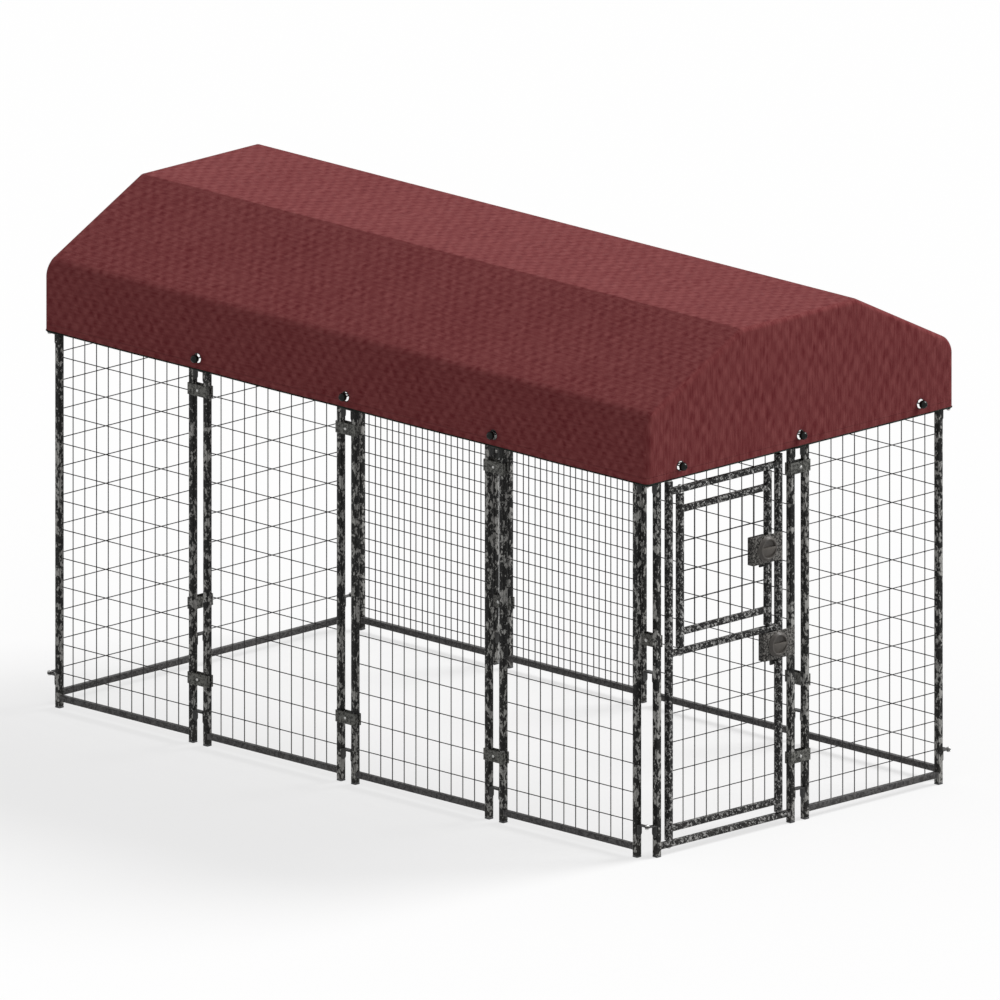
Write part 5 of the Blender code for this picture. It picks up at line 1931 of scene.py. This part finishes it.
@dataclass
class RoofFrame:
    """Bent bows on feet in the posts, and two tubes along the roof's creases."""

    finishes: Finishes
    bend: float = 0.042
    foot_plate: float = 0.003
    foot_margin: float = 0.0015
    peg: float = 0.025
    cradle: tuple[float, float] = (0.012, 0.026)
    corner: float = 0.0012
    plate_corner: float = 0.0008
    inner_margin: float = 0.004

    def arch(self) -> Piece:
        """A bow's tube in the plane X = 0."""
        y = ROOF.half_y - ROOF.bow_inset
        eave = ROOF.eave + ROOF.bow_inset * (math.tan(ROOF.slope) - 1 / math.cos(ROOF.slope))
        ridge_y, ridge_z = ROOF.ridge
        top = ridge_z - ROOF.tube - PLAN.running_gap - PLAN.fit - ROOF.tube
        foot = PLAN.height + PLAN.fit + self.foot_plate / 2
        half = [(0, -y, foot), (0, -y, eave), (0, -ridge_y, top)]
        leg = eave - foot - self.foot_plate / 2
        bend = min(self.bend, leg / math.tan((QUARTER - ROOF.slope) / 2))
        line = bent_line(half + [(0, -y, z) for _, y, z in reversed(half)], bend)
        pieces = [tube(line, ROOF.tube, 16)]
        long, wide = self.cradle
        for side in (-1, 1):
            under = side * ridge_y
            high = (long / 2, under + wide / 2, ridge_z - PLAN.running_gap)
            seat = bar((-long / 2, under - wide / 2, top), high, self.corner)
            cut_away(seat, rod((-long, under, ridge_z), (long, under, ridge_z), ROOF.tube, sides=24))
            pieces.append(seat)
        return joined("arch", [painted(piece, self.finishes.post) for piece in pieces])

    def foot(self, low: tuple[float, float], high: tuple[float, float]) -> Piece:
        """A level strip of a bow's foot plate."""
        z = PLAN.height + PLAN.fit
        strip = bar((*low, z), (*high, z + self.foot_plate), self.plate_corner, 1)
        return painted(strip, self.finishes.post)

    def stub(self, x: float, y: float) -> Piece:
        """A square peg from a foot plate down into a post's open top."""
        half = PLAN.post / 2 - PLAN.wall - PLAN.fit
        top = PLAN.height + PLAN.fit + self.foot_plate / 2
        peg = bar((x - half, y - half, top - self.peg), (x + half, y + half, top), self.corner, 1)
        return painted(peg, self.finishes.post)

    def middle_feet(self) -> list[Piece]:
        """Feet that bridge two posts in line."""
        half = PLAN.post / 2 - self.foot_margin
        middle = (PLAN.gap + PLAN.post) / 2
        end = middle + PLAN.post / 2 - PLAN.wall
        pieces = []
        for y in (-PLAN.side_y, PLAN.side_y):
            pieces.append(self.foot((-end, y - half), (end, y + half)))
            pieces += [self.stub(-middle, y), self.stub(middle, y)]
        return pieces

    def corner_feet(self) -> list[Piece]:
        """Feet of the front bow, each an L over the two posts that meet at a corner."""
        half = PLAN.post / 2 - self.foot_margin
        offset = PLAN.corner_reach + PLAN.post / 2
        end = offset + PLAN.post / 2 - PLAN.wall
        inner = half - self.inner_margin
        pieces = []
        for sign in (-1, 1):
            y = sign * PLAN.side_y
            across = sorted((y - sign * end, y + sign * inner))
            pieces.append(self.foot((-end, y - half), (inner, y + half)))
            pieces.append(self.foot((-half, across[0]), (half, across[1])))
            pieces += [self.stub(-offset, y), self.stub(0.0, y - sign * offset)]
        return pieces

    def build(self) -> None:
        """Places the three bows and the two ridge tubes."""
        arch = self.arch()
        end_x = ROOF.half_x - ROOF.bow_inset
        end_arch = copied(arch, "arch", shift(end_x - PLAN.end_x))
        front = joined("roof_bow_front_tube", [end_arch, *self.corner_feet()])
        back = copied(front, "roof_bow_back_tube", shift(-PLAN.end_x) @ Side.RIGHT.turn)
        moved(front, shift(PLAN.end_x))
        middle = joined("roof_bow_middle_1_tube", [arch, *self.middle_feet()])
        for piece in (front, back, middle):
            dress(piece, Body.RUN, Slot.FRAME, piece.name.removesuffix("_tube"))
        reach = ROOF.half_x - ROOF.corner
        maker = TubeFrame(self.finishes, self.finishes.post, self.finishes.post)
        y, z = ROOF.ridge
        for name, side in (("ridge_tube_left", -1), ("ridge_tube_right", 1)):
            piece = rod((-reach, side * y, z), (reach, side * y, z), ROOF.tube, sides=24)
            maker.open_end(piece, (1, 0, 0))
            maker.open_end(piece, (-1, 0, 0))
            piece = joined(f"{name}_pole", [painted(piece, self.finishes.post)])
            dress(piece, Body.RUN, Slot.FRAME, name)


@dataclass
class BallTies:
    """Balls in the skirt's holes, on loops of one elastic cord a side that runs behind the panels."""

    finishes: Finishes
    ball: float = 0.0125
    stand_off: float = 0.0115
    rise: float = 0.0325
    cord: float = 0.0023
    behind: float = 0.0025
    loop: float = 0.0013
    loop_start: float = 0.009
    loop_spread: float = 1.6
    end_cells: float = 1.575
    dimple: float = 0.0012
    dimple_slope: float = 0.0005
    dimple_facing: float = 0.97

    @property
    def height(self) -> float:
        """The ties' height."""
        return ROOF.hem + self.rise

    def places(self, side: Side) -> list[float]:
        """The ties' places along a side, from its middle."""
        if side.is_long:
            return [PLAN.pitch * step for step in (-1, 0, 1)]
        cell = (PLAN.width - 2 * PLAN.post) / (PLAN.columns + 1)
        corner = PLAN.half_end - PLAN.post - self.end_cells * cell
        return [-corner, 0.0, corner]

    def spots(self) -> list[tuple[Side, float]]:
        """Every tie's side and place along it."""
        return [(side, along) for side in Side for along in self.places(side)]

    def one_ball(self) -> Piece:
        """A ball round the origin with a dimple in front, towards -Y, and a neck behind."""
        sphere = {"segments": 32, "ring_count": 20, "radius": self.ball, "rotation": (QUARTER, 0, 0)}
        piece = primitive(bpy.ops.mesh.primitive_uv_sphere_add, **sphere)
        with editing(piece):
            pick_faces(piece, lambda middle, normal: normal.y < -self.dimple_facing)
            bpy.ops.mesh.inset(thickness=self.dimple_slope)
            extrude((0, self.dimple, 0))
            pick_faces(piece, lambda middle, normal: normal.y > self.dimple_facing)
            extrude((0, self.dimple, 0))
        return joined("ball", [painted(piece, self.finishes.ball)])

    def build(self) -> None:
        """Places every side's balls and cord."""
        front = -(PLAN.post / 2 + ROOF.fit + ROOF.cloth + self.stand_off)
        behind = PLAN.post / 2 + PLAN.fit + self.behind
        master = self.one_ball()
        for side in Side:
            places = self.places(side)
            node = f"ball_ties_{side.value[0]}"
            spot = PLAN.spot(side, 0.0, self.height)
            balls = [copied(master, "ball", shift(x, front)) for x in places]
            dress(moved(joined(f"{node}_balls", balls), spot), Body.RUN, Slot.BALL, node)
            ends = (places[0] - self.ball, places[-1] + self.ball)
            line = [(x, behind, 0) for x in (ends[0], *places, ends[1])]
            strands = [tube([Vector(point) for point in line], self.cord, 8)]
            for x in places:
                for off in (-self.loop_spread, self.loop_spread):
                    aside = off * self.loop
                    start = (x + aside, front + self.loop_start, 0)
                    loop = [start, (x + aside, 0, 0), (x + 2 * aside, behind, 0)]
                    strands.append(tube([Vector(point) for point in loop], self.loop, 6))
            cord = joined(f"{node}_cord", [painted(strand, self.finishes.elastic) for strand in strands])
            dress(moved(cord, spot), Body.RUN, Slot.BALL)
        discard(master)


@dataclass
class Cover:
    """A fitted cloth: flat along the top, sloping to rounded eaves, with a skirt down to the hem."""

    finishes: Finishes
    ties: BallTies
    grid: float = 0.022
    hole: float = 0.0143
    ring: float = 0.0011
    ring_past_hole: float = 0.0004
    ring_depth: float = 1.25
    piping: float = 0.0023
    piping_drop: float = 0.0019
    top_sag: float = 0.0030
    slope_sag: float = 0.0045
    skirt_wave: float = 0.0026
    piping_inset: float = 0.0003
    gable_rows: tuple[float, float] = (0.55, 1.15)
    punch: tuple[float, float] = (-0.02, 0.004)
    bow_half: float = 0.014
    eave_above: float = 0.01
    eave_below: float = 0.05
    skirt_curve: float = 1.3
    corner_fade: float = 0.08

    def shell(self) -> Piece:
        """The cover's outer face as one open sheet, before it settles."""
        half_x, half_y = ROOF.half_x, ROOF.half_y
        piece = bar((-half_x, -half_y, ROOF.hem), (half_x, half_y, ROOF.top))
        turn = QUARTER - ROOF.slope
        with editing(piece):
            pick_faces(piece, lambda middle, normal: normal.z < -FACING)
            bpy.ops.mesh.delete(type="ONLY_FACE")
            split((0, 0, ROOF.eave), (0, 0, 1))
            pick_faces(piece, lambda middle, normal: normal.z > FACING)
            resize((1, ROOF.flat_half / half_y, 1), (0, 0, ROOF.top))
            pick_edges(piece, self.is_across_end)
            bpy.ops.mesh.dissolve_edges(use_verts=False)
        round_edges(piece, ROOF.eave_radius * math.tan(turn / 2), 8, self.is_eave)
        round_edges(piece, ROOF.inset * math.tan(ROOF.slope / 2), 3, self.is_crease)
        round_edges(piece, ROOF.corner, 5, self.is_gable_edge)
        return piece

    def is_across_end(self, start: Vector, end: Vector) -> bool:
        """Whether an edge runs across an end at the eaves' height."""
        return is_same(start.x, end.x) and is_same(start.z, end.z, ROOF.eave)

    def is_eave(self, start: Vector, end: Vector) -> bool:
        """Whether an edge runs along an eave."""
        return abs(start.x - end.x) > ROOF.half_x and is_same(start.z, end.z, ROOF.eave)

    def is_crease(self, start: Vector, end: Vector) -> bool:
        """Whether an edge runs between a slope and the top."""
        return abs(start.x - end.x) > ROOF.half_x and is_same(start.z, end.z, ROOF.top)

    def is_gable_edge(self, start: Vector, end: Vector) -> bool:
        """Whether an edge lies round a gable, above the hem."""
        is_end = is_same(start.x, end.x) and is_same(abs(start.x), ROOF.half_x)
        return is_end and not is_same(start.z, end.z, ROOF.hem)

    def cut_grid(self, piece: Piece) -> None:
        """Cuts the sheet into a fine grid."""
        with editing(piece):
            spans = (
                (Axis.X, -ROOF.half_x, ROOF.half_x),
                (Axis.Y, -ROOF.half_y, ROOF.half_y),
                (Axis.Z, ROOF.hem, ROOF.eave),
            )
            for axis, low, high in spans:
                count = round((high - low) / self.grid)
                normal = Vector()
                normal[axis.value] = 1.0
                for step in range(1, count):
                    split(normal * (low + (high - low) * step / count), normal)

    def along_girth(self, point: Vector) -> float:
        """How far up the cover a point of a long side lies from the ground, along the cloth."""
        half = abs(point.y)
        if half < ROOF.flat_half:
            return ROOF.eave + ROOF.slope_length + ROOF.flat_half - half
        share = (ROOF.half_y - half) / (ROOF.half_y - ROOF.flat_half)
        return min(point.z, ROOF.eave) + share * ROOF.slope_length

    def mark(self, piece: Piece) -> None:
        """Lays the weave's map in metres, its dashes upright and wider apart on the gables."""
        mesh = piece.data
        mesh.uv_layers.remove(mesh.uv_layers[0])
        layer = mesh.uv_layers.new(name=WEAVE_MAP)
        for face in mesh.polygons:
            for loop in face.loop_indices:
                place = mesh.vertices[mesh.loops[loop].vertex_index].co
                is_end = abs(face.normal.x) > 0.7
                upright = (self.gable_rows[0] * place.z, self.gable_rows[1] * place.y)
                layer.data[loop].uv = upright if is_end else (place.x, self.along_girth(place))

    def settled(self, place: Vector) -> Vector:
        """Where a point of the taut sheet comes to rest.

        Args:
            place: The point on the sheet's taut outer face.

        Returns:
            The point after it has sagged between the tubes, or bellied out between the ties.
        """
        from_end = ROOF.half_x - abs(place.x)
        between_bows = math.sin(math.pi * min(1.0, abs(place.x) / (ROOF.half_x - self.bow_half))) ** 2
        if abs(place.y) < ROOF.flat_half:
            across = math.cos(QUARTER * place.y / ROOF.flat_half)
            return place - Vector((0, 0, self.top_sag * across * between_bows))
        side = math.copysign(1.0, place.y)
        if place.z > ROOF.eave + self.eave_above:
            share = (ROOF.top - place.z) / (ROOF.top - ROOF.eave - self.eave_above)
            across = math.sin(math.pi * min(1.0, max(0.0, share)))
            inwards = Vector((0, -side * math.sin(ROOF.slope), -math.cos(ROOF.slope)))
            return place + inwards * self.slope_sag * across * between_bows
        skirt_top = ROOF.eave - self.eave_below
        low = max(0.0, (skirt_top - place.z) / (skirt_top - ROOF.hem)) ** self.skirt_curve
        if from_end > ROOF.corner:
            wave = 0.5 - 0.5 * math.cos(2 * math.pi * place.x / PLAN.pitch)
            fade = min(1.0, (from_end - ROOF.corner) / self.corner_fade)
            return place + Vector((0, side * self.skirt_wave * low * wave * fade, 0))
        return place

    def settle(self, piece: Piece) -> None:
        """Lets every point of a piece follow the cloth."""
        for vertex in piece.data.vertices:
            vertex.co = self.settled(vertex.co)

    def hem_line(self) -> list[Vector]:
        """A closed line round the hem, just inside the cloth's outer face."""
        x = ROOF.half_x - self.piping_inset
        y = ROOF.half_y - self.piping_inset
        corners = [(0, -y), (x, -y), (x, y), (-x, y), (-x, -y), (0, -y)]
        z = ROOF.hem - self.piping_drop
        line = bent_line([(*corner, z) for corner in corners], ROOF.corner, math.radians(15))
        points = []
        for start, end in zip(line, line[1:]):
            steps = max(1, round((end - start).length / (2 * self.grid)))
            points += [start.lerp(end, step / steps) for step in range(steps)]
        return points

    def rings(self) -> list[Piece]:
        """A ring in every hole of the skirt."""
        torus = {"major_segments": 40, "minor_segments": 10, "major_radius": self.hole + self.ring_past_hole}
        master = primitive(bpy.ops.mesh.primitive_torus_add, minor_radius=self.ring, **torus)
        with editing(master):
            bpy.ops.mesh.select_all(action="SELECT")
            resize((1, 1, self.ring_depth))
        painted(master, self.finishes.ring)
        out = PLAN.post / 2 + ROOF.fit + ROOF.cloth / 2
        made = []
        for number, (side, along) in enumerate(self.ties.spots(), start=1):
            spot = PLAN.spot(side, along, self.ties.height) @ shift(y=-out) @ LIE_DOWN
            made.append(joined(f"cover_ring_{number}", [copied(master, "ring", spot)]))
        discard(master)
        return made

    def build(self) -> None:
        """Builds the cloth, its hem and the rings of its holes."""
        sheet = self.shell()
        self.cut_grid(sheet)
        self.mark(sheet)
        self.settle(sheet)
        painted(sheet, self.finishes.cloth)
        apply_modifier(sheet, "SOLIDIFY", thickness=ROOF.cloth, offset=-1.0, use_even_offset=True)
        holes = []
        for side, along in self.ties.spots():
            tool = rod((0, self.punch[0], 0), (0, self.punch[1], 0), self.hole, sides=40)
            holes.append(moved(tool, PLAN.spot(side, along, self.ties.height)))
        cut_away(sheet, joined("holes", holes))
        sheet = joined("cover_sheet", [sheet])
        dress(sheet, Body.RUN, Slot.CLOTH, "cover")
        piping = painted(tube(self.hem_line(), self.piping, 8, is_closed=True), self.finishes.hem)
        self.settle(piping)
        hem = dress(joined("cover_hem_piping", [piping]), Body.RUN, Slot.CLOTH)
        rings = [dress(ring, Body.RUN, Slot.CLOTH) for ring in self.rings()]
        gable = ROOF.top - ROOF.hem
        flat = (ROOF.girth, 2 * (ROOF.half_x + gable))
        resting = [f"roof_bow_{name}_tube" for name in ("front", "back", "middle_1")]
        resting += ["ridge_tube_left_pole", "ridge_tube_right_pole"]


# Camera, light and floor


WHITE = (1.0, 1.0, 1.0, 1.0)


@dataclass
class Studio:
    """The photograph's view, a soft key light from behind the right side, and a white floor and backdrop.

    Attributes:
        azimuth: How far round from the -Y axis the camera stands.
        elevation: How far above the floor it stands.
        ortho_scale: The picture's width.
        shift_right: How far right of the origin the picture's middle lies.
        shift_up: How far above the origin it lies in the picture.
        distance: How far away the camera is.
        key_from: The way to the key light.
        key_strength: Its strength.
        key_angle: How wide it is, for soft shadows.
        ambient: The backdrop's strength as a light.
        floor_size: The floor's length and width.
        floor_colour: Its colour.
        floor_glow: How strongly it glows as a light.
        floor_shown: How much more it glows to the eye.
    """

    azimuth: float = math.radians(45)
    elevation: float = math.radians(15)
    ortho_scale: float = 2.9133
    shift_right: float = 0.003
    shift_up: float = 0.7085
    distance: float = 9.0
    key_from: Point = (0.3, 0.9, 0.85)
    key_strength: float = 3.5
    key_angle: float = math.radians(28)
    ambient: float = 0.59
    floor_size: float = 60.0
    floor_colour: Colour = (0.225, 0.224, 0.224)
    floor_glow: float = 0.35
    floor_shown: float = 0.345

    def camera(self) -> None:
        """Sets the camera."""
        level = math.cos(self.elevation)
        round_z = (math.sin(self.azimuth) * level, -math.cos(self.azimuth) * level)
        back = Vector((*round_z, math.sin(self.elevation)))
        turn = back.to_track_quat("Z", "Y")
        middle = turn @ Vector((self.shift_right, self.shift_up, 0))
        camera = bpy.data.cameras.new("camera")
        camera.type = "ORTHO"
        camera.ortho_scale = self.ortho_scale
        camera.clip_end = 100.0
        viewer = linked("camera", camera)
        viewer.location = middle + back * self.distance
        viewer.rotation_euler = turn.to_euler()
        bpy.context.scene.camera = viewer

    def key_light(self) -> None:
        """Adds the soft key light."""
        sun = bpy.data.lights.new("key", "SUN")
        sun.energy = self.key_strength
        sun.angle = self.key_angle
        linked("key", sun).rotation_euler = Vector(self.key_from).to_track_quat("Z", "Y").to_euler()

    def seen(self, tree: Tree) -> Socket:
        """One where the camera, a reflection or a refraction sees a surface, and zero elsewhere."""
        path = tree.add("ShaderNodeLightPath").outputs
        seen = tree.maths("MAXIMUM", path["Is Camera Ray"], path["Is Glossy Ray"])
        return tree.maths("MAXIMUM", seen, path["Is Transmission Ray"])

    def backdrop(self) -> None:
        """Makes the world white to the eye and dimmer as a light."""
        world = bpy.data.worlds.new("backdrop")
        world.use_nodes = True
        bpy.context.scene.world = world
        tree = Tree(world.node_tree)
        shown = tree.maths("MULTIPLY_ADD", self.seen(tree), 1.0 - self.ambient, self.ambient)
        tree.feed(world.node_tree.nodes["Background"], {"Color": WHITE, "Strength": shown})

    def floor(self) -> None:
        """Lays a white floor that keeps the run's soft shadow."""
        floor = primitive(bpy.ops.mesh.primitive_plane_add, size=self.floor_size)
        floor.name = "floor"
        material, tree, shader = start_material("floor", 1.0, 0.0, 0.0)
        glow = tree.maths("MULTIPLY_ADD", self.seen(tree), self.floor_shown, self.floor_glow)
        tree.feed(shader, {"Base Color": (*self.floor_colour, 1.0)})
        tree.feed(shader, {"Emission Color": WHITE, "Emission Strength": glow})
        painted(floor, material)

    def build(self) -> None:
        """Sets up the whole studio."""
        self.camera()
        self.key_light()
        self.backdrop()
        self.floor()
        bpy.context.scene.view_settings.view_transform = "Standard"


def main() -> None:
    """Builds the studio and every part of the run."""
    logging.basicConfig(level=logging.INFO, format="%(name)s: %(message)s")
    Studio().build()
    finishes = Finishes()
    ties = BallTies(finishes)
    Panels(finishes).build()
    Fasteners(finishes).build()
    Leaves(finishes).build()
    Latches(finishes).build()
    RoofFrame(finishes).build()
    ties.build()
    Cover(finishes, ties).build()


if __name__ == "__main__":
    main()
